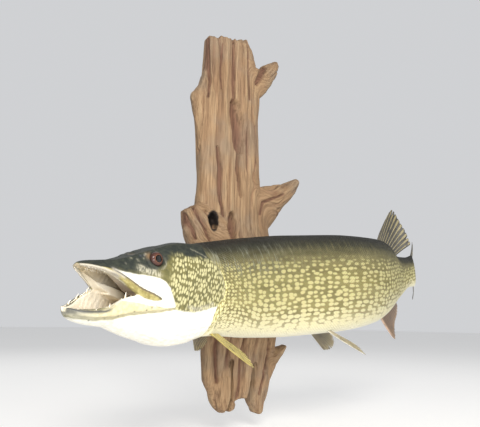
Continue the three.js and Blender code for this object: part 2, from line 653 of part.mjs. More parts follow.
add(skull, 'head', buildHead(), OLIVE, 0.35);
add(skull, 'lower_jaw', buildLowerJaw(), CREAM, 0.35);
add(skull, 'throat', buildThroat(), CREAM, 0.4);
add(skull, 'tongue', buildTongue(), CREAM, 0.3);
for (const [hand, side] of [['left', 1], ['right', -1]]) {
  add(skull, `gill_cover_${hand}`, gillCover(side, 0), FLANK_GOLD, 0.35);
  add(skull, `maxilla_${hand}`, maxilla(side), OLIVE, 0.35);
  const eye = new THREE.Mesh(new THREE.SphereGeometry(1, 12, 7),
    new THREE.MeshStandardMaterial({ color: 0x5f4634, roughness: 0.05, metalness: 0 }));
  eye.geometry.scale(EYE.across / 2, EYE.bulge, EYE.across / 2);
  eye.position.set(EYE.at[0], side * EYE.at[1], EYE.at[2]);
  eye.name = `eye_${hand}`;
  skull.add(eye);
}
add(part, 'trunk', trunk, FLANK_GOLD, 0.35);
add(part, 'tail', bodyLoft(TRUNK_END + GAP / FISH_LENGTH, TAIL_END, TAIL_STEPS, 0), FLANK_GOLD, 0.35);

const dorsal = middleFin({ from: 0.722, to: 0.815, edgeOf: BACK, up: 1, lean: [36, 68],
  length: curve([[0, 42], [0.1, 84], [0.22, 124], [0.36, 131], [0.5, 127], [0.65, 119],
    [0.8, 108], [1, 92]]), bow: (u) => 4 + 7 * u });
const anal = middleFin({ from: 0.7, to: 0.795, edgeOf: BELLY, up: -1, lean: [48, 64],
  length: curve([[0, 66], [0.08, 102], [0.2, 98], [0.5, 75], [0.8, 54], [1, 36]]),
  bow: (u) => -5 * u });
add(part, 'dorsal_fin', dorsal.subtract(bodySpace), FIN_OLIVE, 0.45);
add(part, 'anal_fin', anal.subtract(bodySpace), FIN_OLIVE, 0.45);
const tailSpace = bodyLoft(TAIL_END - 0.02, TAIL_END + GAP / FISH_LENGTH, 1, GAP);
add(part, 'caudal_fin', caudalFin().subtract(tailSpace), FIN_OLIVE, 0.45);
const lowSpace = bodySpace.add(inWorld(union([gillCover(1, GAP), gillCover(-1, GAP),
  lowerHead(NAPE_X, 100, GAP)])));
for (const [name, shape] of Object.entries(PAIRED_FINS)) {
  add(part, name, pairedFin(shape).subtract(lowSpace), FIN_OLIVE, 0.45);
}

const seat = bodySpace.add(inWorld(upperHead(NAPE_X - 30, 60, 1)))
  .add(inWorld(lowerHead(NAPE_X - 30, 60, 1)));
add(part, 'driftwood', buildDriftwood(seat), WOOD, 0.85);

export default part;
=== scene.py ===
"""Looks of a mounted northern pike on an upright slab of driftwood."""
import math

import bpy
import numpy as np
from mathutils import Matrix, Vector


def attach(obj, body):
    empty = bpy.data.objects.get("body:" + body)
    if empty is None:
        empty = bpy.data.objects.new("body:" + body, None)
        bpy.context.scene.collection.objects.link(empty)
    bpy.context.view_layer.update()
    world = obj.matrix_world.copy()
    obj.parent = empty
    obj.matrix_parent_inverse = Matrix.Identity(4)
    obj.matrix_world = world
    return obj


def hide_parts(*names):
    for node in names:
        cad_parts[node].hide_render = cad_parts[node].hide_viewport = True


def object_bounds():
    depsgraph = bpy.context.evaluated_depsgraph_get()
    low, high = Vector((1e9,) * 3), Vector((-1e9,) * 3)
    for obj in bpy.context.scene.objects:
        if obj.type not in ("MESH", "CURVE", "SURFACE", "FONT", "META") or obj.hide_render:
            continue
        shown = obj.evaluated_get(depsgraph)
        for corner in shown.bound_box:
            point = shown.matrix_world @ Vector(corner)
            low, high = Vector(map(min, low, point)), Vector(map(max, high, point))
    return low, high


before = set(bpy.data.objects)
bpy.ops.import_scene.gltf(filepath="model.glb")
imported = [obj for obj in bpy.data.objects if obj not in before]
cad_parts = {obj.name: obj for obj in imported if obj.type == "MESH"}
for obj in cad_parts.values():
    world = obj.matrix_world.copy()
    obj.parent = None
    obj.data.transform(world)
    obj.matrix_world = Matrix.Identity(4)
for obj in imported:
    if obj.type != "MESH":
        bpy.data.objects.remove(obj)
cad_box = [list(corner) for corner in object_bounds()]

MM = 0.001  # shapes are worked out in millimetres, as in the CAD
rng = np.random.default_rng(11)

# ---- the CAD's driving dimensions


def curve(stations):
    """A smooth monotone curve through a few [place, value] stations."""
    x = np.array([s[0] for s in stations], float)
    y = np.array([s[1] for s in stations], float)
    width = np.diff(x)
    rise = np.diff(y) / width
    slope = np.zeros(len(x))
    slope[0], slope[-1] = rise[0], rise[-1]
    for i in range(1, len(x) - 1):
        if rise[i - 1] * rise[i] > 0:
            before = 2 * width[i] + width[i - 1]
            after = width[i] + 2 * width[i - 1]
            slope[i] = (before + after) / (before / rise[i - 1] + after / rise[i])

    def at(v):
        v = np.clip(np.asarray(v, float), x[0], x[-1])
        i = np.clip(np.searchsorted(x, v, side="right") - 1, 0, len(width) - 1)
        t = (v - x[i]) / width[i]
        bend = t * t * (3 - 2 * t)
        start, end = t * (1 - t) ** 2, t * t * (t - 1)
        return (y[i] + bend * (y[i + 1] - y[i])
                + width[i] * (start * slope[i] + end * slope[i + 1]))
    return at


FISH_LENGTH = 1100.0
ANCHOR_S = 0.3
ANCHOR = np.array([-99.2, -129.8, -322.3])
AXIS_HEADING = curve([[0, 5.5], [0.28, 1.6], [0.5, -17.4], [0.75, 12], [0.84, 3], [1, 3]])
AXIS_CLIMB = math.radians(5.4)
BACK = curve([[0.2, 72], [0.27, 80], [0.35, 89], [0.45, 95], [0.55, 95], [0.65, 91],
              [0.71, 88], [0.745, 82], [0.78, 65], [0.815, 50], [0.87, 47], [0.905, 53]])
BELLY = curve([[0.2, 87], [0.27, 91], [0.35, 103], [0.45, 111], [0.55, 112], [0.65, 105],
               [0.7, 94], [0.75, 78], [0.81, 56], [0.87, 33], [0.905, 31]])
FLANK = curve([[0.2, 52], [0.245, 55], [0.262, 58], [0.285, 62.5], [0.35, 66], [0.45, 66],
               [0.55, 64], [0.65, 56], [0.71, 47], [0.76, 38], [0.82, 26], [0.87, 16],
               [0.9, 10], [0.905, 6]])
BODY_ROUNDNESS = 2.25
TAIL_END = 0.905

SKULL_S = 0.24
SKULL_HEADING = math.radians(11)
SKULL_PITCH = math.radians(4.2)
NAPE_X = 10
SNOUT_X = 246
CROWN_Z = curve([[-25, 80], [10, 75.5], [59, 68], [95, 55], [123, 41.5], [148, 29.5],
                 [169, 21.5], [192, 14.5], [206, 11.5], [228, 7.5], [241, 4], [246, 1.5]])
BROW_Y = curve([[-25, 36], [59, 31], [100, 28], [123, 28], [148, 25], [175, 21],
                [206, 18], [229, 13], [241, 8], [246, 3]])
BROW_Z = curve([[-25, 70], [59, 61.5], [95, 53], [123, 41.5], [148, 30.5], [169, 21.5],
                [192, 13.5], [206, 10.5], [228, 6], [241, 2.5], [246, 0.5]])
TEMPLE_Y = curve([[-25, 54], [30, 52], [59, 49], [95, 44], [125, 38.5], [148, 34.5],
                  [175, 30], [202, 26], [224, 21], [239, 14], [246, 4.5]])
TEMPLE_Z = curve([[-25, 46], [59, 38], [95, 30], [125, 23], [148, 15], [175, 7.5],
                  [206, 3], [232, 1], [246, -0.8]])
CHEEK_Y = curve([[-25, 61], [30, 61.5], [59, 60.5], [95, 56], [125, 48], [148, 41.5],
                 [175, 34.5], [202, 29.5], [219, 25.5], [234, 19.5], [242, 12], [246, 5]])
CHEEK_Z = curve([[-25, 8], [59, 0], [95, -6], [125, -8], [148, -9], [175, -8],
                 [202, -3.5], [232, -1.5], [246, -2]])
LIP_Y = curve([[-25, 62], [59, 61.5], [95, 58], [131, 50], [158, 42.5], [180, 36.5],
               [202, 31], [219, 27], [234, 21], [242, 13], [246, 5]])
LIP_LEFT_Z = curve([[-25, -45], [95, -45], [130, -38.5], [158, -35.8], [168, -31],
                    [183, -21.5], [200, -11.5], [217, -6.6], [232, -4.5], [246, -3.5]])
LIP_RIGHT_Z = curve([[-25, -45], [95, -45], [130, -38.5], [158, -35.8], [178, -33],
                     [190, -29.5], [206, -20], [220, -12.6], [235, -6.5], [246, -3.5]])
JAW_TIP_X = 257
RIM_Y = curve([[-25, 62], [59, 61.5], [95, 57.5], [131, 50.5], [158, 43.5], [180, 38],
               [205, 32], [225, 27], [242, 20.5], [252, 13], [257, 5]])
LEFT_CORNER_X = 158
RIGHT_CORNER_X = 190
RIM_LEFT_Z = curve([[158, -35.8], [172, -40], [185, -46], [192, -52], [200, -58.5],
                    [212, -63.5], [228, -66.5], [246, -66], [257, -64]])
RIM_RIGHT_Z = curve([[190, -29.5], [208, -39], [220, -46], [232, -54], [244, -59.5],
                     [257, -62.5]])
CHIN_Z = curve([[-25, -92], [10, -95], [35, -103], [69, -108], [85, -107], [104, -103.5],
                [130, -99], [150, -95], [172, -89.5], [187, -86], [218, -84.7], [242, -81],
                [252, -76], [257, -69]])
CHIN_ROUNDNESS = 2.3
# The mouth's inside, carried back into a gullet.
PALATE_Z = curve([[14, -36], [52, -21], [70, -12], [90, -5], [120, 0], [160, 1.5], [195, 0],
                  [228, -1], [246, -2.4], [270, -3]])
FLOOR_Z = curve([[14, -42], [52, -46], [70, -56], [90, -70], [120, -80], [150, -82],
                 [195, -77], [228, -73.5], [246, -70], [270, -64]])
MOUTH_Y = curve([[14, 5], [52, 17], [70, 27], [90, 35], [120, 40], [150, 38], [175, 32.5],
                 [195, 27.5], [218, 21.5], [234, 14.5], [247, 8], [270, 5]])
MOUTH_BACK_X = 14
MOUTH_FRONT_X = 267
MOUTH_ROUNDNESS = 2.6
EYE_AT = np.array([127.0, 35.0, 23.0])
EYE_XZ = EYE_AT[[0, 2]]
EYE_ACROSS = 25.0
EYE_BULGE = 8.2
GILL_OUTLINE = [[46, 57], [60, 34], [66, 4], [66, -26], [76, -50], [84, -64], [58, -72],
                [28, -72], [3, -64], [-13, -44], [-20, -20], [-20, 12], [-15, 32], [0, 55],
                [22, 62]]
MAXILLA_OUTLINE = [[222, -3.4], [209, -3.4], [198, -5.5], [176, -14.5], [155, -25.5],
                   [136, -31.5], [123, -38], [131, -41.5], [149, -40.5], [160, -37],
                   [170, -31.5], [184, -21.8], [200, -12.5], [213, -8.5]]
COAT_DEPTH = 0.5  # the skin lies this far inside the CAD, under the scales


def lip_z(x, side):
    return LIP_LEFT_Z(x) if side > 0 else LIP_RIGHT_Z(x)


def rim_z(x, side):
    x = np.asarray(x, float)
    if side > 0:
        return np.where(x < LEFT_CORNER_X, LIP_LEFT_Z(x), RIM_LEFT_Z(x))
    return np.where(x < RIGHT_CORNER_X, LIP_RIGHT_Z(x), RIM_RIGHT_Z(x))


def smoothstep(low, high, v):
    t = np.clip((np.asarray(v, float) - low) / (high - low), 0, 1)
    return t * t * (3 - 2 * t)


def unit(v):
    return v / np.maximum(np.linalg.norm(v, axis=-1, keepdims=True), 1e-12)


# ---- the body's axis and frames


def tailward(s):
    """The direction of the body's axis at the fractions s of its length."""
    heading = np.radians(AXIS_HEADING(s))
    return np.stack([np.cos(heading) * math.cos(AXIS_CLIMB),
                     np.sin(heading) * math.cos(AXIS_CLIMB),
                     np.full_like(heading, math.sin(AXIS_CLIMB))], -1)


AXIS_STEPS = 200
axis_steps = tailward((np.arange(AXIS_STEPS) + 0.5) / AXIS_STEPS) * FISH_LENGTH / AXIS_STEPS
AXIS_POINTS = np.vstack([np.zeros(3), np.cumsum(axis_steps, 0)])
AXIS_POINTS += ANCHOR - AXIS_POINTS[round(ANCHOR_S * AXIS_STEPS)]


def body_frame(s):
    """Origin, tailward, left and up directions at the fractions s."""
    s = np.asarray(s, float)
    i = np.clip((s * AXIS_STEPS).astype(int), 0, AXIS_STEPS - 1)
    t = (s * AXIS_STEPS - i)[..., None]
    origin = AXIS_POINTS[i] * (1 - t) + AXIS_POINTS[i + 1] * t
    back = tailward(s)
    left = unit(np.stack([back[..., 1], -back[..., 0], np.zeros_like(s)], -1))
    return origin, back, left, np.cross(left, back)


def body_point(s, side, height):
    origin, _, left, up = body_frame(s)
    return origin + left * np.asarray(side)[..., None] + up * np.asarray(height)[..., None]


def section(s, angle, grow):
    """A point of the body's section: angle 0 is the back, pi the belly, positive on the left."""
    power = 2 / BODY_ROUNDNESS
    across, up = np.sin(angle), np.cos(angle)
    side = (FLANK(s) + grow) * np.sign(across) * np.abs(across) ** power
    tall = np.where(up > 0, BACK(s), BELLY(s)) + grow
    return side, tall * np.sign(up) * np.abs(up) ** power


def body_surface(s, angle, grow=0.0):
    side, height = section(s, angle, grow)
    return body_point(s, side, height)


# Distances round the body from the back's middle, as a table over s and the angle.
TABLE_S = np.linspace(0.18, 0.92, 186)
TABLE_ANGLE = np.linspace(0, math.pi, 241)
table_points = body_surface(TABLE_S[:, None], TABLE_ANGLE[None, :])
AROUND = np.concatenate([np.zeros((len(TABLE_S), 1)), np.cumsum(
    np.linalg.norm(np.diff(table_points, axis=1), axis=-1), 1)], 1)


def table_place(s):
    """The table's row below each s, and how far past it s lies."""
    place = np.clip((s - TABLE_S[0]) / (TABLE_S[1] - TABLE_S[0]), 0, len(TABLE_S) - 1.001)
    row = place.astype(int)
    return row, place - row


def around_at(s, angle):
    """Distance round the body at each s and angle, by bilinear look-up."""
    i, u = table_place(s)
    b = np.clip(np.abs(angle) / TABLE_ANGLE[1], 0, len(TABLE_ANGLE) - 1.001)
    j = b.astype(int)
    v = b - j
    return ((AROUND[i, j] * (1 - u) + AROUND[i + 1, j] * u) * (1 - v)
            + (AROUND[i, j + 1] * (1 - u) + AROUND[i + 1, j + 1] * u) * v)


def half_girth(s):
    return np.interp(s, TABLE_S, AROUND[:, -1])


def lie_of(points):
    """Where points sit on the body: s, the angle, and the distance round from the back."""
    s = np.clip((points[:, 0] - AXIS_POINTS[0, 0]) / (np.ptp(AXIS_POINTS[:, 0])), 0, 1)
    for _ in range(5):
        origin, back, left, up = body_frame(s)
        s = np.clip(s + ((points - origin) * back).sum(-1) / FISH_LENGTH, 0, 0.999)
    off = points - origin
    side, height = (off * left).sum(-1), (off * up).sum(-1)
    tall = np.where(height > 0, BACK(s), BELLY(s))
    power = BODY_ROUNDNESS / 2
    a = np.sign(side) * np.abs(side / FLANK(s)) ** power
    b = np.sign(height) * np.abs(height / tall) ** power
    angle = np.arctan2(a, b)
    return s, angle, around_at(np.clip(s, TABLE_S[0], TABLE_S[-1]), angle)


def skull_axes():
    h, p = SKULL_HEADING, SKULL_PITCH
    ahead = np.array([-math.cos(h) * math.cos(p), -math.sin(h) * math.cos(p), math.sin(p)])
    left = np.array([math.sin(h), -math.cos(h), 0.0])
    return ahead, left, np.cross(ahead, left)


SKULL_AXES = np.array(skull_axes())
SKULL_ORIGIN = body_frame(np.array(SKULL_S))[0]


def from_skull(p):
    return np.asarray(p) @ SKULL_AXES + SKULL_ORIGIN


def to_skull(p):
    return (np.asarray(p) - SKULL_ORIGIN) @ SKULL_AXES.T


# ---- meshes


def loft(rings):
    """A closed body through rings (count, points, 3), capped round the rings' middles."""
    rings = np.asarray(rings, float)
    count, n, _ = rings.shape
    points = rings.reshape(-1, 3)
    r, k = np.meshgrid(np.arange(count - 1), np.arange(n), indexing="ij")
    a, b = r * n + k, r * n + (k + 1) % n
    quads = np.stack([a, b, b + n, a + n], -1).reshape(-1, 4)
    points = np.vstack([points, rings[0].mean(0), rings[-1].mean(0)])
    k = np.arange(n)
    last = (count - 1) * n
    front = np.stack([(k + 1) % n, k, np.full(n, count * n)], -1)
    rear = np.stack([last + k, last + (k + 1) % n, np.full(n, count * n + 1)], -1)
    return points, [*quads.tolist(), *front.tolist(), *rear.tolist()]


def linked(name, data):
    """A new object in the scene that shows the data."""
    obj = bpy.data.objects.new(name, data)
    bpy.context.scene.collection.objects.link(obj)
    return obj


def mesh_object(name, points, faces, scale=1.0):
    """A new mesh, in millimetres unless scale says otherwise, with its faces turned out."""
    mesh = bpy.data.meshes.new(name)
    mesh.from_pydata((np.asarray(points) * scale).tolist(), [], faces)
    mesh.validate()
    mesh.update()
    fix_facing(mesh)
    return linked(name, mesh)


def fix_facing(mesh):
    """Turns a closed mesh the right way out."""
    co, tris = arrays_of(mesh)
    a, b, c = co[tris[:, 0]], co[tris[:, 1]], co[tris[:, 2]]
    if (a * np.cross(b, c)).sum() < 0:
        mesh.flip_normals()


def arrays_of(mesh):
    """A mesh's points and its triangles."""
    co = np.zeros(len(mesh.vertices) * 3)
    mesh.vertices.foreach_get("co", co)
    mesh.calc_loop_triangles()
    tris = np.zeros(len(mesh.loop_triangles) * 3, np.int32)
    mesh.loop_triangles.foreach_get("vertices", tris)
    return co.reshape(-1, 3), tris.reshape(-1, 3)


def modified(obj, kind, **settings):
    """Applies one modifier to an object's mesh."""
    modifier = obj.modifiers.new("m", kind)
    for key, value in settings.items():
        setattr(modifier, key, value)
    graph = bpy.context.evaluated_depsgraph_get()
    graph.update()
    made = bpy.data.meshes.new_from_object(obj.evaluated_get(graph))
    obj.modifiers.clear()
    old = obj.data
    obj.data = made
    bpy.data.meshes.remove(old)
    return obj


def drop(*objects):
    """Deletes objects that were only tools."""
    for obj in objects:
        mesh = obj.data
        bpy.data.objects.remove(obj)
        bpy.data.meshes.remove(mesh)


def cut(obj, tool):
    return modified(obj, "BOOLEAN", operation="DIFFERENCE", solver="MANIFOLD", object=tool)


def keep(obj, tool):
    return modified(obj, "BOOLEAN", operation="INTERSECT", solver="MANIFOLD", object=tool)


def merged(name, *objects):
    """One object holding several meshes side by side, still unjoined."""
    points, faces, start = [], [], 0
    for obj in objects:
        co, tris = arrays_of(obj.data)
        points.append(co)
        faces.append(tris + start)
        start += len(co)
    drop(*objects)
    return mesh_object(name, np.vstack(points), np.vstack(faces).tolist())


class Surface:
    """A mesh as arrays, with its neighbours, for shaping by functions."""

    def __init__(self, mesh):
        self.co, self.tris = arrays_of(mesh)
        edges = np.zeros(len(mesh.edges) * 2, np.int32)
        mesh.edges.foreach_get("vertices", edges)
        self.edges = edges.reshape(-1, 2)
        self.count = np.bincount(self.edges.ravel(), minlength=len(self.co)).astype(float)

    def relax(self, rounds, weight=1.0, strength=0.5):
        a, b = self.edges[:, 0], self.edges[:, 1]
        n = len(self.co)
        for _ in range(rounds):
            total = np.stack([np.bincount(a, self.co[b, k], n) + np.bincount(b, self.co[a, k], n)
                              for k in range(3)], -1)
            mean = total / self.count[:, None]
            self.co = self.co + (mean - self.co) * (strength * np.reshape(weight, (-1, 1)))

    def normals(self):
        p = self.co[self.tris]
        face = np.cross(p[:, 1] - p[:, 0], p[:, 2] - p[:, 0])
        total = np.zeros_like(self.co)
        for k in range(3):
            for axis in range(3):
                total[:, axis] += np.bincount(self.tris[:, k], face[:, axis], len(self.co))
        return unit(total)

    def push(self, amount):
        self.co = self.co + self.normals() * np.reshape(amount, (-1, 1))


def set_points(mesh, co):
    mesh.vertices.foreach_set("co", np.asarray(co, np.float32).ravel())
    mesh.update()


def attribute(mesh, name, values):
    """A number or a vector at each vertex."""
    values = np.asarray(values, np.float32)
    kind, field = ("FLOAT", "value") if values.ndim == 1 else ("FLOAT_VECTOR", "vector")
    layer = mesh.attributes.new(name, kind, "POINT")
    layer.data.foreach_set(field, values.ravel())


def shade_smooth(mesh):
    mesh.polygons.foreach_set("use_smooth", np.ones(len(mesh.polygons), bool))


def quick_mesh(name, points, faces):
    """A smooth mesh from arrays; it is faster than mesh_object, and all faces match in sides."""
    faces = np.asarray(faces, np.int32)
    mesh = bpy.data.meshes.new(name)
    mesh.vertices.add(len(points))
    mesh.vertices.foreach_set("co", np.asarray(points, np.float32).ravel())
    mesh.loops.add(faces.size)
    mesh.loops.foreach_set("vertex_index", faces.ravel())
    mesh.polygons.add(len(faces))
    mesh.polygons.foreach_set("loop_start", np.arange(0, faces.size, faces.shape[1], np.int32))
    mesh.update(calc_edges=True)
    shade_smooth(mesh)
    return linked(name, mesh)


# ---- the head's solids


def catmull(keys, count):
    """Points along a spline through keys (stations, k, 2)."""
    k = keys.shape[1]
    p = np.linspace(0, 1, count + 1) * (k - 1)
    i = np.minimum(p.astype(int), k - 2)
    w = (p - i)[None, :, None]
    p0, p1, p2, p3 = (keys[:, np.clip(i + step, 0, k - 1)] for step in (-1, 0, 1, 2))
    v0, v1 = (p2 - p0) / 2, (p3 - p1) / 2
    return ((2 * p1 - 2 * p2 + v0 + v1) * w ** 3 + (-3 * p1 + 3 * p2 - 2 * v0 - v1) * w ** 2
            + v0 * w + p1)


HALF_POINTS = 40  # of half a ring of the head
HEAD_STEP = 2.0


def upper_half(x, grow, side):
    """Half rings of the skull, from the crown down to the lip, as y and z."""
    brow_y, brow_z, crown_z = BROW_Y(x), BROW_Z(x), CROWN_Z(x)
    keys = np.stack([
        np.stack(pair, -1) for pair in (
            (0 * x, crown_z), (brow_y * 0.6, crown_z * 0.55 + brow_z * 0.45),
            (brow_y, brow_z), (TEMPLE_Y(x), TEMPLE_Z(x)), (CHEEK_Y(x), CHEEK_Z(x)),
            (LIP_Y(x), lip_z(x, side)))], 1)
    p = catmull(keys, HALF_POINTS)
    along = unit(np.concatenate([p[:, 1:2] - p[:, :1], p[:, 2:] - p[:, :-2],
                                 p[:, -1:] - p[:, -2:-1]], 1))
    y = p[:, :, 0] - along[:, :, 1] * grow[:, None]
    z = p[:, :, 1] + along[:, :, 0] * grow[:, None]
    y[:, 0] = 0
    z[:, -1] = p[:, -1, 1]
    return np.stack([side * y, z], -1)


def lower_half(x, grow, side):
    """Half rings of the jaw and throat, from the chin's middle up to the rim, as y and z."""
    rim, grow = rim_z(x, side)[:, None], grow[:, None]
    tall = rim - CHIN_Z(x)[:, None] + grow
    power = 2 / CHIN_ROUNDNESS
    angle = np.linspace(math.pi / 2, 0, HALF_POINTS // 2 + 1)[None, :]
    y = side * (RIM_Y(x)[:, None] + grow) * np.abs(np.cos(angle)) ** power
    return np.stack([y, rim - tall * np.sin(angle) ** power], -1)


def head_loft(name, start, end, half, edge, grow, shift=0.0):
    """A solid of left and right half rings, closed along the middle between their edges."""
    x = np.linspace(start, end, max(3, round((end - start) / HEAD_STEP)))
    g = grow(x) if callable(grow) else grow * np.ones_like(x)
    left, right = half(x, g, 1), half(x, g, -1)[:, 1:][:, ::-1]
    middle = np.stack([np.zeros_like(x), (edge(x, 1) + edge(x, -1)) / 2], -1)[:, None]
    ring = np.concatenate([left, middle, right], 1)
    xs = np.broadcast_to(x[:, None, None], ring.shape[:2] + (1,))
    points, faces = loft(np.concatenate([xs, ring], -1))
    return mesh_object(name, points - [0, 0, shift], faces)


LIP_GAP = 0.2  # how far the upper half is sunk into the lower one


def upper_head(start, end, grow, sunk=LIP_GAP):
    return head_loft("upper", start, end, upper_half, lip_z, grow, sunk)


def lower_head(start, end, grow):
    return head_loft("lower", start, end, lower_half, rim_z, grow)


def oval(count, width, above, below, roundness):
    """Rings of an oval: arrays (stations, count) of y and z."""
    angle = np.linspace(0, 2 * math.pi, count, endpoint=False)[None, :]
    power = 2 / roundness
    c, s = np.cos(angle), np.sin(angle)
    y = np.reshape(width, (-1, 1)) * np.sign(c) * np.abs(c) ** power
    tall = np.where(s > 0, np.reshape(above, (-1, 1)), np.reshape(below, (-1, 1)))
    return y, tall * np.sign(s) * np.abs(s) ** power


def mouth_shape(x):
    """The mouth's middle height, half height and half width at each x."""
    roof, floor = PALATE_Z(x), FLOOR_Z(x)
    return (roof + floor) / 2, (roof - floor) / 2, MOUTH_Y(x)


def mouth_hole():
    x = np.linspace(MOUTH_BACK_X, MOUTH_FRONT_X, 90)
    middle, half, wide = mouth_shape(x)
    y, z = oval(64, wide, half, half, MOUTH_ROUNDNESS)
    rings = np.stack([np.broadcast_to(x[:, None], y.shape), y, middle[:, None] + z], -1)
    return mesh_object("mouth_hole", *loft(rings))


def closed_outline(corners, per_side, grow=0.0):
    """A smooth closed outline through corners, moved outwards by grow."""
    p = np.asarray(corners, float)
    out = []
    for i in range(len(p)):
        p0, p1, p2, p3 = np.roll(p, 1 - i, 0)[:4]
        t = [0.0]
        for a, b in ((p0, p1), (p1, p2), (p2, p3)):
            t.append(t[-1] + max(np.linalg.norm(b - a), 1e-9) ** 0.5)
        for u in np.linspace(t[1], t[2], per_side, endpoint=False):
            def blend(a, b, low, high):
                return ((t[high] - u) * a + (u - t[low]) * b) / (t[high] - t[low])
            a1, a2, a3 = blend(p0, p1, 0, 1), blend(p1, p2, 1, 2), blend(p2, p3, 2, 3)
            out.append(blend(blend(a1, a2, 0, 2), blend(a2, a3, 1, 3), 1, 2))
    out = np.array(out)
    after, before = np.roll(out, -1, 0), np.roll(out, 1, 0)
    area = (out[:, 0] * after[:, 1] - after[:, 0] * out[:, 1]).sum()
    along = unit(after - before)
    return out + np.stack([along[:, 1], -along[:, 0]], -1) * np.sign(area) * grow


def side_prism(name, outline, y0, y1):
    """An outline of x and z, carried from y0 to y1."""
    n = len(outline)
    points = np.array([[x, y, z] for y in (y0, y1) for x, z in outline])
    sides = [[k, (k + 1) % n, n + (k + 1) % n, n + k] for k in range(n)]
    return mesh_object(name, points, [list(range(n))[::-1], list(range(n, 2 * n)), *sides])


OUTSIDE_Y = 90  # past the head's widest place
PLATE_VOXEL = 1.0


def bone_plate(name, outline, side, inner_y, start, end, grow):
    """A bone of the head's side: its outline, cut from a head that is a little larger."""
    reach = (inner_y, OUTSIDE_Y) if side > 0 else (-OUTSIDE_Y, -inner_y)
    plate = side_prism(name, outline, *reach)
    larger = merged("larger_head", upper_head(start, end, grow), lower_head(start, end, grow))
    modified(larger, "REMESH", mode="VOXEL", voxel_size=PLATE_VOXEL)
    keep(plate, larger)
    drop(larger)
    return plate


def gill_cover(side):
    proud = curve([[-26, 0.5], [-5, 0.6], [40, 0.5], [70, 0.1]])
    return bone_plate("gill", closed_outline(GILL_OUTLINE, 5, 0.5), side, 18, -25, 100, proud)


def maxilla(side):
    shift = [[x, z + float(lip_z(x, side) - lip_z(x, 1))] for x, z in MAXILLA_OUTLINE]
    return bone_plate("maxilla", closed_outline(shift, 6, 0.2), side, 15, 112, 235, 2.3)


def turns(count):
    """Angles once round the body, from -pi to pi."""
    angle = np.linspace(0, 2 * math.pi, count, endpoint=False)
    return np.where(angle > math.pi, angle - 2 * math.pi, angle)


def body_front(start, end, grow):
    """Rings of the body in the skull's frame, grown by a function of s."""
    s = np.linspace(start, end, 50)
    return to_skull(body_surface(s[:, None], turns(120)[None], grow(s)[:, None]))


def swept(path, wide, across, thick):
    """A closed body along a path, from its sideways directions and its sections' two parts."""
    deep = np.cross(wide, unit(np.gradient(path, axis=0)))
    return loft(path[:, None] + wide[:, None] * across[..., None]
                + deep[:, None] * thick[..., None])


def tube(path, radius, sides=10):
    """A round closed tube through a path; radius is one number for each point."""
    wide = unit(np.cross(unit(np.gradient(path, axis=0)), [0.0, 0.0, 1.0]))
    angle = np.linspace(0, 2 * math.pi, sides, endpoint=False)
    radius = np.reshape(radius, (-1, 1))
    return swept(path, wide, np.cos(angle) * radius, np.sin(angle) * radius)


SKIN_VOXEL = 1.25


def make_head():
    """The head, jaws, throat, gill covers and the front of the trunk as one surface."""
    hole = mouth_hole()
    chin = curve([[-6, -4], [4, -1.2], [12, -0.2], [257, -0.2]])
    neck = curve([[0.2, -6], [0.225, -COAT_DEPTH], [0.285, -COAT_DEPTH],
                  [0.302, -COAT_DEPTH - 0.9]])
    pieces = [upper_head(NAPE_X, SNOUT_X, -0.2), lower_head(-6, JAW_TIP_X, chin),
              mesh_object("front", *loft(body_front(0.2, 0.302, neck)))]
    for piece in pieces:
        cut(piece, hole)
    drop(hole)
    for side in (1, -1):
        pieces += [gill_cover(side), maxilla(side), *lips(side)]
    return modified(merged("head_skin", *pieces), "REMESH", mode="VOXEL", voxel_size=SKIN_VOXEL)


LIP_SUNK = 1.6
LOW_LIP, HIGH_LIP = 2.1, 1.7  # the lips' half thickness


def lips(side):
    """Fleshy edges of both jaws, as bent tubes sunk in the bone."""
    corner = LEFT_CORNER_X if side > 0 else RIGHT_CORNER_X
    x = np.linspace(corner - 8, JAW_TIP_X - 1, 60)
    low = np.stack([x, side * (RIM_Y(x) - LIP_SUNK), rim_z(x, side) - LIP_SUNK], -1)
    low_radius = LOW_LIP - 0.5 * smoothstep(230, 257, x)
    x = np.linspace(corner - 4, SNOUT_X - 1.5, 60)
    high = np.stack([x, side * (LIP_Y(x) - LIP_SUNK), lip_z(x, side) + 1.4], -1)
    return [mesh_object("lip", *tube(low, low_radius)),
            mesh_object("lip", *tube(high, HIGH_LIP * np.ones_like(x)))]


# ---- noise


def hashed(i, j, k, seed):
    """A repeatable random number from 0 to 1 for each whole-numbered place."""
    h = (i * 374761393 + j * 668265263 + k * 974634777 + seed * 1274126177) & 0xFFFFFFFF
    h = ((h ^ (h >> 13)) * 1274126177) & 0xFFFFFFFF
    return ((h ^ (h >> 16)) & 0xFFFFFF) / 0xFFFFFF


def noise(p, seed):
    """Smooth noise from -1 to 1 at points (n, 3) given in units of its grain."""
    cell = np.floor(p).astype(np.int64)
    f = p - cell
    f = f * f * (3 - 2 * f)
    total = 0
    for corner in range(8):
        d = np.array([corner & 1, corner >> 1 & 1, corner >> 2 & 1])
        weight = np.prod(np.where(d, f, 1 - f), 1)
        total = total + weight * hashed(*(cell + d).T, seed)
    return total * 2 - 1


def layered(p, layers, seed):
    """Noise with finer layers on it, each half as strong as the one before."""
    return sum(noise(p * 2.03 ** k, seed + k) * 0.5 ** k for k in range(layers)) / 1.5


# ---- assembling the skin


def make_trunk():
    """The body from behind the gills to the tail's root, with a fine even grid."""
    s = np.linspace(0.27, TAIL_END, 280)
    sink = curve([[0.27, -1.3], [0.288, 0], [TAIL_END, 0]])(s) - COAT_DEPTH
    return mesh_object("trunk_skin", *loft(body_surface(s[:, None], turns(160)[None],
                                                        sink[:, None])))


def gaussian(d, width):
    return np.exp(-(np.asarray(d) / width) ** 2)


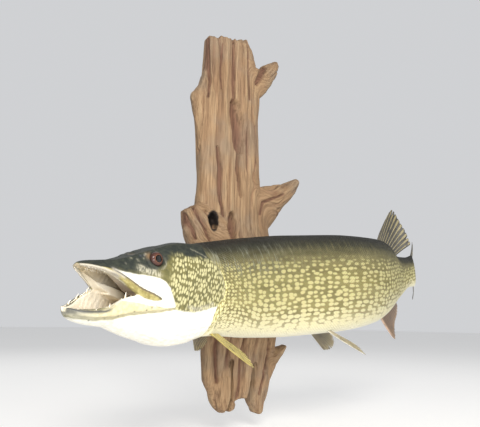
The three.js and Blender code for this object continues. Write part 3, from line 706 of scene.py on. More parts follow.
def path_distance(p, path):
    """Distance of the points p from a bent line, and how far along it they are."""
    path = np.asarray(path, float)
    best = np.full(len(p), 1e9)
    where = np.zeros(len(p))
    for i, (a, b) in enumerate(zip(path[:-1], path[1:])):
        t = np.clip(((p - a) @ (b - a)) / max((b - a) @ (b - a), 1e-9), 0, 1)
        d = np.linalg.norm(p - (a + t[:, None] * (b - a)), axis=1)
        closer = d < best
        best = np.where(closer, d, best)
        where = np.where(closer, (i + t) / (len(path) - 1), where)
    return best, where


def outline_distance(p, outline):
    """Signed distance of points (n, 2) from a closed outline, negative inside."""
    path = np.vstack([outline, outline[:1]])
    d, _ = path_distance(p, path)
    x, z = p[:, 0], p[:, 1]
    inside = np.zeros(len(p), bool)
    for (x0, z0), (x1, z1) in zip(path[:-1], path[1:]):
        crosses = (z0 > z) != (z1 > z)
        slope = (x1 - x0) / (z1 - z0) if z1 != z0 else 0.0
        inside ^= crosses & (x < x0 + (z - z0) * slope)
    return np.where(inside, -d, d)


FAR_OUTSIDE = 50.0  # what mouth_depth says behind the gullet


def mouth_depth(p):
    """How far outside the mouth's wall a point is, in millimetres; 0 or less is in the mouth."""
    middle, half, wide = mouth_shape(p[:, 0])
    power = MOUTH_ROUNDNESS
    a, b = np.abs(p[:, 1] / wide), np.abs((p[:, 2] - middle) / half)
    q = np.maximum(a ** power + b ** power, 1e-9) ** (1 / power)
    slope = np.hypot((a / q) ** (power - 1) / wide, (b / q) ** (power - 1) / half)
    return np.where(p[:, 0] > MOUTH_BACK_X - 2, (q - 1) / slope, FAR_OUTSIDE)


# Lines, areas and dots on the head's side, as x and z in the skull's frame.
COVER_EDGE_X = curve([[-100, 12], [-83, 9], [-70, 9], [-56, 8.6], [-41, 3], [-32, -1],
                      [-19, -14], [-6, -18], [6, -14.5], [17, -10], [30, -1], [38, 12],
                      [48, 24], [58, 24], [70, 16], [82, 8]])  # by z
PREOPERCLE = [[79, 34], [76, 20], [75, 5], [73, -10], [69, -28], [71, -42], [80, -54]]
SUBOPERCLE = [[68, -45], [56, -46], [32, -41], [14, -34], [0, -28], [-11, -14]]
BAR = [[160, 9], [150, 6.5], [140, 5], [130, 4.5]]  # of bone, under the eye
BROW_RIDGE = [[100, 47], [118, 42.5], [134, 36], [150, 29]]
NAPE_STREAK = [[53, 54], [44, 51], [35, 47.5], [27, 44]]
LIP_STREAK = [[203, -5], [192, -9], [183, -13]]
BLADE_GROOVE = [[200, -8.5], [176, -20], [150, -33], [132, -39.5]]
BLADE_STAIN = [[176, -14.5], [155, -25.5], [136, -32]]
BLADE_MIDDLE = np.array([[123, -40], [150, -34], [184, -17.5], [222, -6]])
THROAT_EDGE = np.array([[-20, -24], [0, -35], [32, -45], [57, -51], [80, -52], [98, -51],
                        [123, -57.5], [167, -66], [192, -74], [220, -78], [247, -77]])
JAW_CREASE = [[247, -75], [240, -76.5], [220, -76.5], [192, -72.6], [167, -65], [123, -56.5],
              [98, -50.5]]
WHITE_CHEEK = np.array([[200, -3.0], [193, -4.2], [180, -4.6], [159, -5.4], [142, -5.2],
                        [126, -6.2], [116, -10.5], [109, -18], [103, -30], [98, -42],
                        [96, -49], [112, -51], [125, -50], [145, -50], [165, -49], [178, -50],
                        [192, -56], [206, -64], [206, -20]])
JAW_BAND = np.array([[262, -60], [246, -64], [228, -65], [212, -62], [200, -57], [186, -47],
                     [165, -47], [140, -50], [118, -51], [97, -49], [98, -51.5], [123, -57.5],
                     [167, -66], [192, -74], [220, -78], [247, -77], [262, -70]])
CROWN_EDGE_Z = curve([[-25, 45], [20, 42], [60, 37], [90, 37], [104, 30], [116, 14], [130, 3],
                      [150, -3], [206, -5], [246, -5]])
SNOUT_SPOTS = [[168, 19], [158, 16], [149, 22], [144, 30], [146, 27], [159, 18.5], [180, 9]]
JAW_PORES = [[129.5, -48.5], [137, -52.5], [145, -57], [163, -61], [184, -69], [205, -74.5],
             [226, -79]]
NOSTRILS = [[153, 24.5], [147, 26.5]]
PORE_LINE = [[172, 15], [160, 20], [104, 36], [92, 30], [86, 18], [112, 9], [130, 8]]


def near(xz, path, width, shift=(0, 0)):
    """1 on a line of the head's side, fading away from it."""
    return gaussian(path_distance(xz, np.add(path, shift))[0], width)


def near_spots(xz, spots, width):
    return sum(gaussian(np.linalg.norm(xz - spot, axis=1), width) for spot in np.array(spots))


SPOTS_START = 290.0  # where the rows of spots begin, along the body
CELL_SHORTEST, CELL_LONGEST, CELL_GROWTH = 6.5, 17.0, 0.10  # growth is for each millimetre
SIDES_APART = 40  # columns between the two sides, so that their spots differ


def spot_cells(along, around, half, side):
    """Cells that hold one pale spot each: short near the gills, long along the flanks."""
    full = (CELL_LONGEST - CELL_SHORTEST) / CELL_GROWTH
    past = along - SPOTS_START
    short = np.log1p(CELL_GROWTH * np.clip(past, -60, full) / CELL_SHORTEST) / CELL_GROWTH
    columns = (short + np.maximum(past - full, 0) / CELL_LONGEST
               + 0.018 * np.maximum(along - 700, 0))
    height = 6.0 + 2.8 * smoothstep(290, 400, along) - 1.2 * smoothstep(740, 960, along)
    return np.stack([columns + SIDES_APART * side, (around - 0.5 * half) / height, 0 * side], -1)


def head_marks(p, side):
    """Which colour each place of the head wears, at points p of the skull's frame."""
    x, z = p[:, 0], p[:, 2]
    xz = p[:, [0, 2]]
    left = p[:, 1] > 0
    jagged = 1.6 * noise(np.stack([x / 7, z / 7, side * 3], -1), 5)
    depth = mouth_depth(p)
    outer = smoothstep(1.5, 3.5, depth)
    past_cover = x - COVER_EDGE_X(z)
    head = smoothstep(-1.2, 1.2, past_cover)
    over_lip = z - np.where(left, LIP_LEFT_Z(x), LIP_RIGHT_Z(x))
    over_rim = z - np.where(left, rim_z(x, 1), rim_z(x, -1))
    shifted = np.stack([x, z - np.where(left, 0, LIP_RIGHT_Z(x) - LIP_LEFT_Z(x))], -1)

    blade = outline_distance(shifted, closed_outline(MAXILLA_OUTLINE, 3))
    on_blade = 1 - smoothstep(-0.6, 0.9, blade)
    band = 1 - smoothstep(-1.2, 1.2, outline_distance(xz, JAW_BAND))
    cheek = 1 - smoothstep(-1.5, 1.5, outline_distance(xz, WHITE_CHEEK) + 0.4 * jagged)
    throat = smoothstep(2, -3, z - np.interp(x, *THROAT_EDGE.T) + 0.5 * jagged)
    white = np.maximum(cheek * (1 - on_blade), throat * (1 - band)) * head
    lip_edge = smoothstep(3.4, 1.6, over_lip) * smoothstep(-4, -1, over_lip)
    pink = np.maximum(lip_edge * smoothstep(190, 198, x),
                      near(shifted, LIP_STREAK, 3.2) * smoothstep(182, 187, x))
    pink = pink * smoothstep(-4, 4, z + 30)
    crown = np.maximum(smoothstep(-7, 7, z - CROWN_EDGE_Z(x) + 2 * jagged),
                       smoothstep(1.8, 4.5, over_lip) * smoothstep(176, 200, x))

    behind_eye = smoothstep(2, 8, EYE_XZ[0] - x) * smoothstep(14, -6, z - EYE_XZ[1])
    pale = np.maximum.reduce([
        0.85 * near(xz, BAR, 5.5, (-3, -5)),
        0.8 * near(xz, BAR, 2.4) * smoothstep(-1.8, 0.2, jagged),
        0.4 * near(xz, NAPE_STREAK, 1.5), 0.95 * near(xz, SUBOPERCLE[:4], 3.4),
        0.55 * gaussian(np.linalg.norm(xz - EYE_XZ, axis=1) - 15.2, 1.8) * behind_eye,
        0.7 * near_spots(xz, SNOUT_SPOTS, 1.5),
        0.45 * gaussian(past_cover - 2.4, 1.6) * smoothstep(-30, -20, z) * smoothstep(42, 34, z)])
    rim_line = gaussian(over_rim + 2.6 - 1.8 * smoothstep(195, 228, x) + 0.6 * jagged, 2.3)
    jaw_tip = smoothstep(240, 254, x + 2 * jagged) * (z < -50) * smoothstep(-76, -70, z)
    blade_edge = gaussian(blade + 1.0, 1.5) * smoothstep(212, 196, x) * smoothstep(
        -1, 2, shifted[:, 1] - np.interp(x, *BLADE_MIDDLE.T))
    # dark: the jaw's rim, its tip and the maxilla's edge are real dark colour; the rest is
    # painted shade and a painted shadow
    dark = np.maximum.reduce([
        0.92 * rim_line * smoothstep(190, 208, x) * np.where(left, 1, 0.35),
        # painted shade along the jaw crease and the preopercle's groove; the jaw tip's dark is
        # its own colour
        0.4 * near(xz, JAW_CREASE, 1.6), 0.75 * jaw_tip, 0.15 * near(xz, PREOPERCLE, 1.6),
        # painted shade in the nostrils, the jaw's pores and the head's pore line
        near_spots(xz, NOSTRILS, 2.0), near_spots(xz, JAW_PORES, 1.1),
        0.7 * near_spots(xz, PORE_LINE, 0.9), 0.8 * blade_edge,
        # painted shadow on the body just behind the gill cover's rear edge
        0.5 * gaussian(past_cover + 1.2, 2.0) * smoothstep(-34, -20, z) * (1 - crown)])
    warm = 0.5 * np.maximum(gaussian(np.linalg.norm(xz - [139, 26.5], axis=1), 5.0),
                            near(shifted, BLADE_STAIN, 2.4) * on_blade)
    drops = smoothstep(112, 100, x + 0.3 * z) * smoothstep(-50, -44, z + 0.1 * x) * (1 - crown)
    in_mouth = (1 - smoothstep(1.0, 2.6, depth)) * (x > MOUTH_BACK_X)
    return {
        "paint_a": np.stack([head, white * outer, crown * outer], -1),
        "paint_b": np.stack([band, dark * outer, pale * outer], -1) * head[:, None],
        "paint_c": np.stack([warm * outer * head, pink * outer * head, in_mouth], -1),
        "drops": drops * outer * (1 - on_blade) * (1 - white),
        "blade": on_blade * outer * head,
    }


def paint(points):
    """What the skin's colours follow at points of the part, as named arrays."""
    p = to_skull(points)
    s, angle, around = lie_of(points)
    half, side = half_girth(s), np.sign(angle)
    along = s * FISH_LENGTH
    return {
        "lie": np.stack([along * MM, around * side * MM, around / half], -1),
        "cells": spot_cells(along, around, half, side),
        "skull": p * MM,
        **head_marks(p, side),
    }


# Ridges and creases of the head: the line, its shift, its half width and its height.
FOLDS = [
    (BROW_RIDGE, (0, 0), 2.6, 1.1), (BAR, (0, 0), 3.2, 1.0), (BAR, (0, -7), 1.8, -0.8),
    (PREOPERCLE, (0, 0), 1.5, -0.8), (PREOPERCLE, (5, 0), 2.6, 0.7),
    (SUBOPERCLE, (0, 0), 1.4, -1.0), (SUBOPERCLE, (0, 4), 2.4, 0.5),
    (JAW_CREASE, (0, 0), 1.7, -1.7), (JAW_CREASE, (0, 4.5), 2.2, 0.8),
    (BLADE_GROOVE, (0, 0), 1.3, -0.5)]
# Its pits and their raised rims: where they are, half width and height.
PITS = [(NOSTRILS, 1.7, -2.6), (NOSTRILS, 3.4, 0.9), (JAW_PORES, 1.15, -1.4),
        (PORE_LINE, 1.1, -0.8)]


def waves(place, length):
    return np.sin(place * 2 * math.pi / length)


def outer_relief(p):
    """How far the head's skin stands out, in millimetres."""
    x, y, z = p.T
    xz = p[:, [0, 2]]
    past_cover = x - COVER_EDGE_X(z)
    d_eye = np.hypot(x - EYE_XZ[0], (z - EYE_XZ[1]) * 1.08)
    h = 1.3 * gaussian(d_eye - 14.2, 1.9) - 0.7 * gaussian(d_eye - 17.8, 1.7)
    h = h + 0.8 * gaussian(d_eye - 15, 3) * smoothstep(0, 10, z - EYE_XZ[1])
    h = h - 4 * smoothstep(12, 9.5, d_eye)
    for path, shift, width, height in FOLDS:
        h = h + height * near(xz, path, width, shift)
    for places, width, height in PITS:
        h = h + height * near_spots(xz, places, width)
    # Growth lines of the opercle fan out from its front upper corner.
    fan, reach = np.arctan2(z - 30, 62 - x), np.hypot(z - 30, 62 - x)
    plate = (smoothstep(72, 64, x) * smoothstep(4, 12, past_cover)
             * smoothstep(-36, -26, z) * smoothstep(44, 36, z))
    h = h + plate * (0.16 * np.sin(fan * 26) + 0.14 * np.sin(reach / 2.1))
    h = h + 0.7 * gaussian(past_cover - 2.0, 1.8) * smoothstep(-60, -40, z)
    # Folds of the gill membrane, of the loose skin behind the mouth, and of the throat.
    low = smoothstep(-50, -60, z - 0.06 * x) * smoothstep(118, 96, x) * smoothstep(4, 12, x)
    h = h + low * 0.3 * waves(z + 0.10 * x + 6 * gaussian(x - 60, 40), 8.5)
    corner = (smoothstep(96, 102, x) * smoothstep(172, 158, x) * smoothstep(-52, -46, z)
              * smoothstep(-6, -12, z))
    ripple = x + 0.45 * z + 2.5 * noise(np.stack([x / 16, z / 16, 0 * x], -1), 3)
    h = h + corner * 0.3 * waves(ripple, 8.0)
    throat = smoothstep(-84, -92, z) * smoothstep(40, 60, x) * smoothstep(236, 215, x)
    h = h + throat * 0.16 * waves(y, 9.0)
    h = h + 0.08 * layered(p / 5.0, 3, 4) + 0.2 * layered(p / 22.0, 2, 9)
    return h * np.where(z < -60, 1, smoothstep(6, 14, np.abs(y)))


def lining_relief(p):
    """How far the mouth's lining stands in: folded walls, ridged palate, gill arches."""
    x, y, z = p.T
    wide = np.abs(y)
    wall = smoothstep(14, 22, wide) * smoothstep(-4, -12, z) * smoothstep(86, 98, x)
    fold = x + 0.35 * z + 4 * noise(np.stack([x / 20, z / 20, np.sign(y) * 4], -1), 7)
    palate = smoothstep(-16, -6, z) * smoothstep(80, 100, x)
    arches = smoothstep(96, 84, x) * smoothstep(30, 44, x)
    floor = smoothstep(-62, -70, z) * smoothstep(90, 100, x)
    return (wall * 0.16 * waves(fold, 10.5)
            + palate * (1.2 * gaussian(y, 2.2) - 1.6 * gaussian(wide - 13, 3.2)
                        + 0.15 * waves(x, 9))
            + arches * 2.6 * waves(x + 0.012 * (z + 38) ** 2, 11.5) ** 3
            + floor * 0.2 * waves(wide + 0.05 * x, 7) + 0.16 * layered(p / 4.0, 3, 12))


def sculpt_head(obj):
    """Softens the joins and adds the head's folds, ridges, pits and creases."""
    surface = Surface(obj.data)
    surface.relax(2)
    nape = smoothstep(44, 60, surface.co[:, 2]) * gaussian(surface.co[:, 0] - 8, 24)
    surface.relax(30, nape, 0.6)
    depth = mouth_depth(surface.co)
    outer, inner = smoothstep(1.5, 3.5, depth), 1 - smoothstep(0.6, 2.6, depth)
    # The lining's normal points into the mouth, so both reliefs push the same way.
    surface.push(outer_relief(surface.co) * outer + lining_relief(surface.co) * inner)
    set_points(obj.data, surface.co)


# ---- node materials


def rgb(red, green, blue):
    """A colour written as on a screen, 0 to 255, as Blender's linear colour."""
    c = np.array([red, green, blue]) / 255
    linear = np.where(c < 0.04045, c / 12.92, ((c + 0.055) / 1.055) ** 2.4)
    return (*(float(v) for v in linear), 1.0)


class Value:
    """A socket in a material. Adding, subtracting or multiplying it makes the node for that."""

    def __init__(self, nodes, socket):
        self.nodes, self.socket = nodes, socket

    def __add__(self, other):
        return self.nodes.math("ADD", self, other)

    def __sub__(self, other):
        return self.nodes.math("SUBTRACT", self, other)

    def __mul__(self, other):
        return self.nodes.math("MULTIPLY", self, other)


class Nodes:
    """A short way of writing a material's node tree."""

    def __init__(self, name, rough=0.4, coat=0.0, coat_rough=0.1, specular=0.5):
        self.material = bpy.data.materials.new(name)
        self.material.use_nodes = True
        self.tree = self.material.node_tree
        self.shader = self.tree.nodes["Principled BSDF"]
        for key, value in (("Roughness", rough), ("Coat Weight", coat),
                           ("Coat Roughness", coat_rough), ("Specular IOR Level", specular)):
            self.shader.inputs[key].default_value = value

    def feed(self, socket, value):
        if isinstance(value, Value):
            self.tree.links.new(value.socket, socket)
        else:
            socket.default_value = value

    def node(self, kind, inputs, **settings):
        made = self.tree.nodes.new(kind)
        for key, value in settings.items():
            setattr(made, key, value)
        for key, value in inputs.items():
            self.feed(made.inputs[key], value)
        return made

    def value(self, kind, inputs, output=0, **settings):
        return Value(self, self.node(kind, inputs, **settings).outputs[output])

    def math(self, operation, *values):
        return self.value("ShaderNodeMath", dict(enumerate(values)), operation=operation)

    def attribute(self, name, output="Vector"):
        return self.value("ShaderNodeAttribute", {}, output, attribute_name=name)

    def number(self, name):
        return self.attribute(name, "Fac")

    def place(self):
        return self.value("ShaderNodeTexCoord", {}, "Object")

    def parts(self, vector):
        made = self.node("ShaderNodeSeparateXYZ", {0: vector})
        return [Value(self, socket) for socket in made.outputs]

    def join(self, x, y, z=0.0):
        return self.value("ShaderNodeCombineXYZ", {0: x, 1: y, 2: z})

    def stretched(self, *pairs):
        """A vector from up to three values, each with its own scale."""
        return self.join(*(value * scale for value, scale in pairs))

    def scaled(self, vector, amount):
        return self.value("ShaderNodeVectorMath", {0: vector, 3: amount}, operation="SCALE")

    def jitter(self, vector, scale, amount, detail=2.0):
        """The vector, shifted by up to about half the amount."""
        shift = self.value("ShaderNodeTexNoise", {"Vector": vector, "Scale": scale,
                                                  "Detail": detail}, 1)
        shift = self.value("ShaderNodeVectorMath", {0: shift, 1: (0.5, 0.5, 0.5)},
                           operation="SUBTRACT")
        return self.value("ShaderNodeVectorMath", {0: vector, 1: self.scaled(shift, amount)},
                          operation="ADD")

    def mix(self, amount, a, b, blend="MIX"):
        return self.value("ShaderNodeMix", {0: amount, 6: a, 7: b}, 2, data_type="RGBA",
                          blend_type=blend)

    def step(self, value, low, high, start=0.0, end=1.0):
        return self.value("ShaderNodeMapRange", {0: value, 1: low, 2: high, 3: start, 4: end},
                          interpolation_type="SMOOTHSTEP")

    def ramp(self, value, *stops):
        """Colours, or plain numbers, by a value from 0 to 1."""
        made = self.node("ShaderNodeValToRGB", {0: value})
        elements = made.color_ramp.elements
        while len(elements) < len(stops):
            elements.new(0.5)
        for element, (position, *colour) in zip(elements, stops):
            element.position = position
            element.color = rgb(*colour) if len(colour) == 3 else (*colour * 3, 1)
        return Value(self, made.outputs[0])

    def noise(self, vector, scale=1.0, detail=2.0, rough=0.5):
        return self.value("ShaderNodeTexNoise", {"Vector": vector, "Scale": scale,
                                                 "Detail": detail, "Roughness": rough})

    def cells(self, vector, randomness):
        """The distance from each cell's middle, and the cell's own random number."""
        made = self.node("ShaderNodeTexVoronoi", {"Vector": vector, "Scale": 1.0,
                                                  "Randomness": randomness},
                         voronoi_dimensions="2D")
        return Value(self, made.outputs["Distance"]), self.parts(
            Value(self, made.outputs["Color"]))[0]

    def bump(self, height, distance, strength):
        self.feed(self.shader.inputs["Normal"], self.value("ShaderNodeBump", {
            "Height": height, "Distance": distance, "Strength": strength}))

    def colour(self, value):
        self.feed(self.shader.inputs["Base Color"], value)

    def rough(self, value):
        self.feed(self.shader.inputs["Roughness"], value)


def spots(n, place, randomness, size, soft=0.07):
    """Round spots, one in each cell; size is a value of the material or a number."""
    distance, pick = n.cells(place, randomness)
    size = (pick - 0.5) * 0.16 + size
    return n.step(distance, size - soft, size + soft, 1.0, 0.0)


def body_tone(n, lie, cells):
    """The body: a dark back, fine streaks that turn to a painted pale sheen near the gills, rows
    of spots, a cream belly.
    """
    along, around, v = n.parts(lie)
    size = n.ramp(v, (0.26, 0.08), (0.34, 0.29), (0.5, 0.36), (0.7, 0.4), (0.8, 0.5),
                  (0.86, 0.64), (0.92, 0.88))
    spot = spots(n, n.jitter(cells, 0.9, 0.42, 1.0), 0.5, size) * n.step(v, 0.27, 0.37)
    base = n.ramp(v, (0.0, 34, 35, 32), (0.14, 43, 43, 37), (0.22, 64, 63, 46),
                  (0.31, 127, 120, 80), (0.5, 153, 143, 86), (0.72, 166, 154, 98),
                  (0.83, 218, 207, 158), (0.89, 246, 239, 208), (1.0, 252, 248, 230))
    light = n.ramp(v, (0.3, 164, 158, 106), (0.4, 209, 201, 143), (0.62, 222, 214, 156),
                   (0.85, 243, 236, 196), (1.0, 252, 248, 230))
    streaks = n.noise(n.stretched((along, 230.0), (around, 26.0)), detail=3.0, rough=0.6)
    streak = n.step(streaks, 0.48, 0.68) * n.ramp(
        v, (0.15, 0.0), (0.26, 0.5), (0.34, 0.75), (0.44, 0.15), (0.8, 0.05))
    # painted sheen: near the gills the fine streaks turn pale grey-blue, standing for light
    # glancing off the upper flank
    painted_sheen = n.mix(n.step(along, 0.54, 0.38), rgb(150, 141, 96), rgb(172, 174, 156))
    cloud = n.noise(n.scaled(lie, 16.0), detail=3.0, rough=0.55)
    base = n.mix(n.step(cloud, 0.42, 0.66, 0.0, 0.3), n.mix(streak, base, painted_sheen),
                 rgb(82, 78, 50), "MULTIPLY")
    return n.mix(spot, base, light)


def lining_tone(n, skull):
    """The mouth's lining: cream in front, with painted shade deepening into the gullet and where
    the cheek shades it.
    """
    x, y, z = n.parts(skull)
    # painted shade: the lining darks from cream to near black deeper in the gullet
    lining = n.ramp(n.step(x, 0.03, 0.24), (0.12, 40, 26, 17), (0.3, 84, 60, 39),
                    (0.43, 156, 128, 94), (0.57, 222, 208, 180), (0.78, 244, 236, 218),
                    (1.0, 240, 230, 208))
    shade = n.step(y, 0.008, 0.014) * n.step(x, 0.225, 0.175) * n.step(z, -0.055, -0.042)
    lining = n.mix(shade * 0.85, lining, rgb(84, 60, 40))
    blotch = n.step(n.noise(skull, 55.0, 3.0, 0.55), 0.5, 0.75, 0.0, 0.3)
    lining = n.mix(blotch, lining, rgb(214, 190, 150))
    roof = n.step(z, -0.024, -0.006) * n.step(x, 0.07, 0.12)
    return n.mix(roof, lining, n.mix(0.8, lining, rgb(190, 180, 160), "MULTIPLY"))


DROP_WIDE, DROP_TALL = 0.0049, 0.0090  # the cheek's spots, in metres


def head_tone(n, skull, white, crown, paint_b, paint_c):
    """The head: a dark crown, an olive side with tall drops, white loose skin and throat."""
    x, y, z = n.parts(skull)
    band, dark, pale = n.parts(paint_b)
    warm, pink, mouth = n.parts(paint_c)
    mottle = n.noise(skull, 140.0, 3.0, 0.6)

    def mottled(low, high, first, second):
        return n.mix(n.step(mottle, low, high), rgb(*first), rgb(*second))
    side = n.mix(crown, mottled(0.35, 0.7, (96, 93, 57), (116, 110, 68)),
                 mottled(0.4, 0.65, (38, 43, 39), (53, 57, 48)))
    lean = (x + z * 0.22) * (1 / DROP_WIDE) + n.math("SIGN", y) * 20.0  # each side has its own
    tall = n.join(lean, z * (1 / DROP_TALL))
    drop = spots(n, n.jitter(tall, 0.8, 0.5), 0.72, 0.35, 0.14) * n.number("drops")
    jaw = n.mix(n.step(x, 0.2, 0.25, 0.0, 0.6), mottled(0.35, 0.7, (194, 185, 146),
                                                        (216, 207, 172)), rgb(172, 171, 158))
    strokes = n.noise(n.stretched((x, 420.0), (z, 150.0)))
    for mask, tone in (
            (drop, rgb(190, 184, 138)),
            (n.number("blade"), mottled(0.35, 0.65, (138, 127, 76), (172, 161, 106))),
            (white, mottled(0.3, 0.7, (226, 222, 205), (244, 242, 232))),
            (band, jaw), (pale * n.step(strokes, 0.42, 0.58, 0.3, 1.0), rgb(188, 183, 160)),
            # dark: real dark marks together with painted shade in creases and pits and a painted
            # shadow behind the gill cover
            (warm, rgb(172, 134, 94)), (pink, rgb(192, 184, 167)), (dark, rgb(54, 58, 64)),
            (mouth, lining_tone(n, skull))):
        side = n.mix(mask, side, tone)
    return side


def skin_material(name, coat):
    """The markings of skin and scales, which follow the same stored places; the scales add
    painted shade at their roots and a painted highlight at their free edges.
    """
    n = Nodes(name, rough=0.42, coat=0.18 if coat else 0.06, coat_rough=0.24, specular=0.32)
    skull = n.attribute("skull")
    head, white, crown = n.parts(n.attribute("paint_a"))
    side = head_tone(n, skull, white, crown, n.attribute("paint_b"), n.attribute("paint_c"))
    tone = n.mix(head, body_tone(n, n.attribute("lie"), n.attribute("cells")), side)
    if coat:
        tip = n.number("tip")
        # painted shade where each scale's root lies under the scale before it
        tone = n.mix(n.step(tip, 0.75, 0.1, 0.0, 0.08), tone, n.mix(0.5, tone, rgb(46, 42, 26)))
        # painted highlight along each scale's free edge
        tone = n.mix(n.step(tip, 0.8, 1.0, 0.0, 0.05), tone, rgb(236, 226, 180))
    else:
        n.bump(n.noise(skull, 420.0, 3.0, 0.6) + n.noise(skull, 120.0) * 1.5, 0.0003, 0.5)
    n.colour(tone)
    n.rough(n.step(n.noise(skull, 90.0, 3.0), 0.3, 0.7, 0.38, 0.54) + crown * 0.3)
    return n.material


def finish_skin(obj, material):
    """Stores what the colours follow, turns to metres, and gives the material."""
    co, _ = arrays_of(obj.data)
    for name, values in paint(co).items():
        attribute(obj.data, name, values)
    set_points(obj.data, co * MM)
    dress(obj, material)


def move_to_part(obj):
    """Turns a mesh from the skull's frame into the part's."""
    set_points(obj.data, from_skull(arrays_of(obj.data)[0]))


def dress(obj, material):
    shade_smooth(obj.data)
    obj.data.materials.clear()
    obj.data.materials.append(material)


FLESH_NODES = ("head", "lower_jaw", "throat", "gill_cover_left", "gill_cover_right",
               "maxilla_left", "maxilla_right", "trunk", "tail")

head = make_head()
sculpt_head(head)
move_to_part(head)
trunk = make_trunk()
skin = modified(head, "BOOLEAN", operation="UNION", solver="MANIFOLD", object=trunk)
drop(trunk)
skin.name = "skin"
finish_skin(skin, skin_material("skin", False))
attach(skin, "root")
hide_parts(*FLESH_NODES)

# ---- eyes, tongue and teeth

EYE_RINGS, EYE_SIDES = 44, 72


def make_eye(name, side):
    """A domed glass eye whose surface stores where it lies from the pupil's middle."""
    polar = np.linspace(0, math.pi, EYE_RINGS + 2)[1:-1, None]
    turn = np.linspace(0, 2 * math.pi, EYE_SIDES, endpoint=False)[None]
    radius = EYE_ACROSS / 2
    x, z = radius * np.sin(polar) * np.cos(turn), radius * np.sin(polar) * np.sin(turn)
    y = np.cos(polar) + 0 * turn
    y = EYE_BULGE * np.where(y > 0, np.abs(y) ** 0.8, y)  # the front is fuller than a ball's
    points, faces = loft(np.stack([x, side * y, z], -1))
    points[-2] = [0, side * EYE_BULGE, 0]
    points[-1] = [0, -side * EYE_BULGE, 0]
    obj = mesh_object(name, from_skull(points + EYE_AT * [1, side, 1]), faces, MM)
    attribute(obj.data, "iris", points[:, [0, 2, 1]] * [1, 1, side] / radius)
    return obj


def eye_material():
    n = Nodes("glass_eye", rough=0.3, coat=0.5, coat_rough=0.02, specular=0.05)
    x, z, _ = n.parts(n.attribute("iris"))
    x, z = x - 0.06, z - 0.1
    reach = n.math("SQRT", x * x * 0.82 + z * z)
    fibre = n.noise(n.stretched((n.math("ARCTAN2", z, x), 5.0), (reach, 2.2)), 1.6, 3.0, 0.6)
    iris = n.ramp(reach, (0.0, 6, 5, 5), (0.47, 8, 6, 6), (0.5, 128, 92, 70),
                  (0.55, 92, 60, 50), (0.7, 84, 57, 50), (0.84, 66, 46, 42),
                  (0.93, 28, 22, 20))
    n.colour(n.mix(n.step(fibre, 0.4, 0.7, 0.0, 0.4), iris, rgb(120, 74, 52), "SOFT_LIGHT"))
    return n.material


def make_tongue():
    half_width = curve([[70, 10], [84, 12], [110, 13], [150, 12], [180, 10], [194, 6],
                        [199, 2.5]])
    x = np.linspace(72, 199, 70)
    y, z = oval(40, half_width(x), 3.6, 2.6, 2.2)
    groove = (1.5 * gaussian(y, 2.0) - 0.35 * np.sin(x / 3.1)[:, None]) * (z > 0)
    middle = FLOOR_Z(x) + 5 + 1.2 * smoothstep(180, 199, x)
    rings = np.stack([np.broadcast_to(x[:, None], y.shape), y, middle[:, None] + z - groove], -1)
    points, faces = loft(rings)
    return mesh_object("tongue_flesh", from_skull(points), faces, MM)


def tooth(base, tip, radius, bend):
    """One curved pointed tooth with a swollen foot."""
    t = np.linspace(0, 1, 9)[:, None]
    base, tip = np.array(base, float), np.array(tip, float)
    path = (1 - t) ** 2 * base + 2 * t * (1 - t) * ((base + tip) / 2 + bend) + t ** 2 * tip
    thick = radius * (1 - t[:, 0]) ** 0.75 + 0.06 + 0.3 * radius * gaussian(t[:, 0], 0.12)
    return tube(path, thick, 8)


NEAR_TEETH = curve([[165, 8], [180, 10.5], [196, 8.5], [210, 5], [252, 2.6]])  # lengths by x
FAR_TEETH = curve([[185, 10], [205, 8.5], [228, 6.5], [252, 3.5]])
TEETH_SIDES = [  # side, lower teeth, lengths of the big ones, where each jaw's row starts
    (1, 12, NEAR_TEETH, LEFT_CORNER_X + 14, 178),
    (-1, 10, FAR_TEETH, RIGHT_CORNER_X + 6, 200)]
PALATE_ROWS = (0.34, 0.46, 0.58)  # parts of the mouth's half width


def make_teeth():
    made = []

    def put(base, tip, radius, bend=(0.8, 0, 0)):
        made.append((*tooth(base, tip, radius, bend), tip))

    for side, count, length, low_start, high_start in TEETH_SIDES:
        for k, x in enumerate(np.linspace(low_start, 250, count)):
            x = x + rng.uniform(-1.5, 1.5)
            big = (1.0 if k % 3 == 1 else 0.26) + rng.uniform(-0.06, 0.1)
            y, z = side * float(RIM_Y(x) - 3.6), float(rim_z(x, side))
            put([x, y, z - 2.6], [x - 2.4, y - side * 2.2, z + float(length(x)) * big],
                1.1 + 0.7 * big, (1.2, side * 0.8, 0))
        for x in np.linspace(high_start, 240, 16):
            y, z = side * float(LIP_Y(x) - 3.4), float(lip_z(x, side))
            put([x, y, z + 1.5], [x - 1.0, y - side * 0.8, z - rng.uniform(1.2, 2.6)], 0.75)
        for x in np.linspace(120, 222, 34):
            middle, half, wide = mouth_shape(x)
            for row in PALATE_ROWS:
                y = side * float(wide) * row
                z = float(middle + half * (1 - row ** MOUTH_ROUNDNESS) ** (1 / MOUTH_ROUNDNESS))
                at = x + rng.uniform(-1.4, 1.4)
                put([at, y, z + 1.8], [at - 1.6, y, z - rng.uniform(1.2, 2.4)], 0.7, (0.5, 0, 0))
    points, faces, height, start = [], [], [], 0
    for co, shape, tip in made:
        points.append(co)
        faces.extend([[k + start for k in face] for face in shape])
        reach = np.linalg.norm(co - np.array(tip), axis=1)
        height.append(1 - reach / reach.max())
        start += len(co)
    obj = mesh_object("teeth", from_skull(np.vstack(points)), faces, MM)
    attribute(obj.data, "height", np.concatenate(height))
    return obj


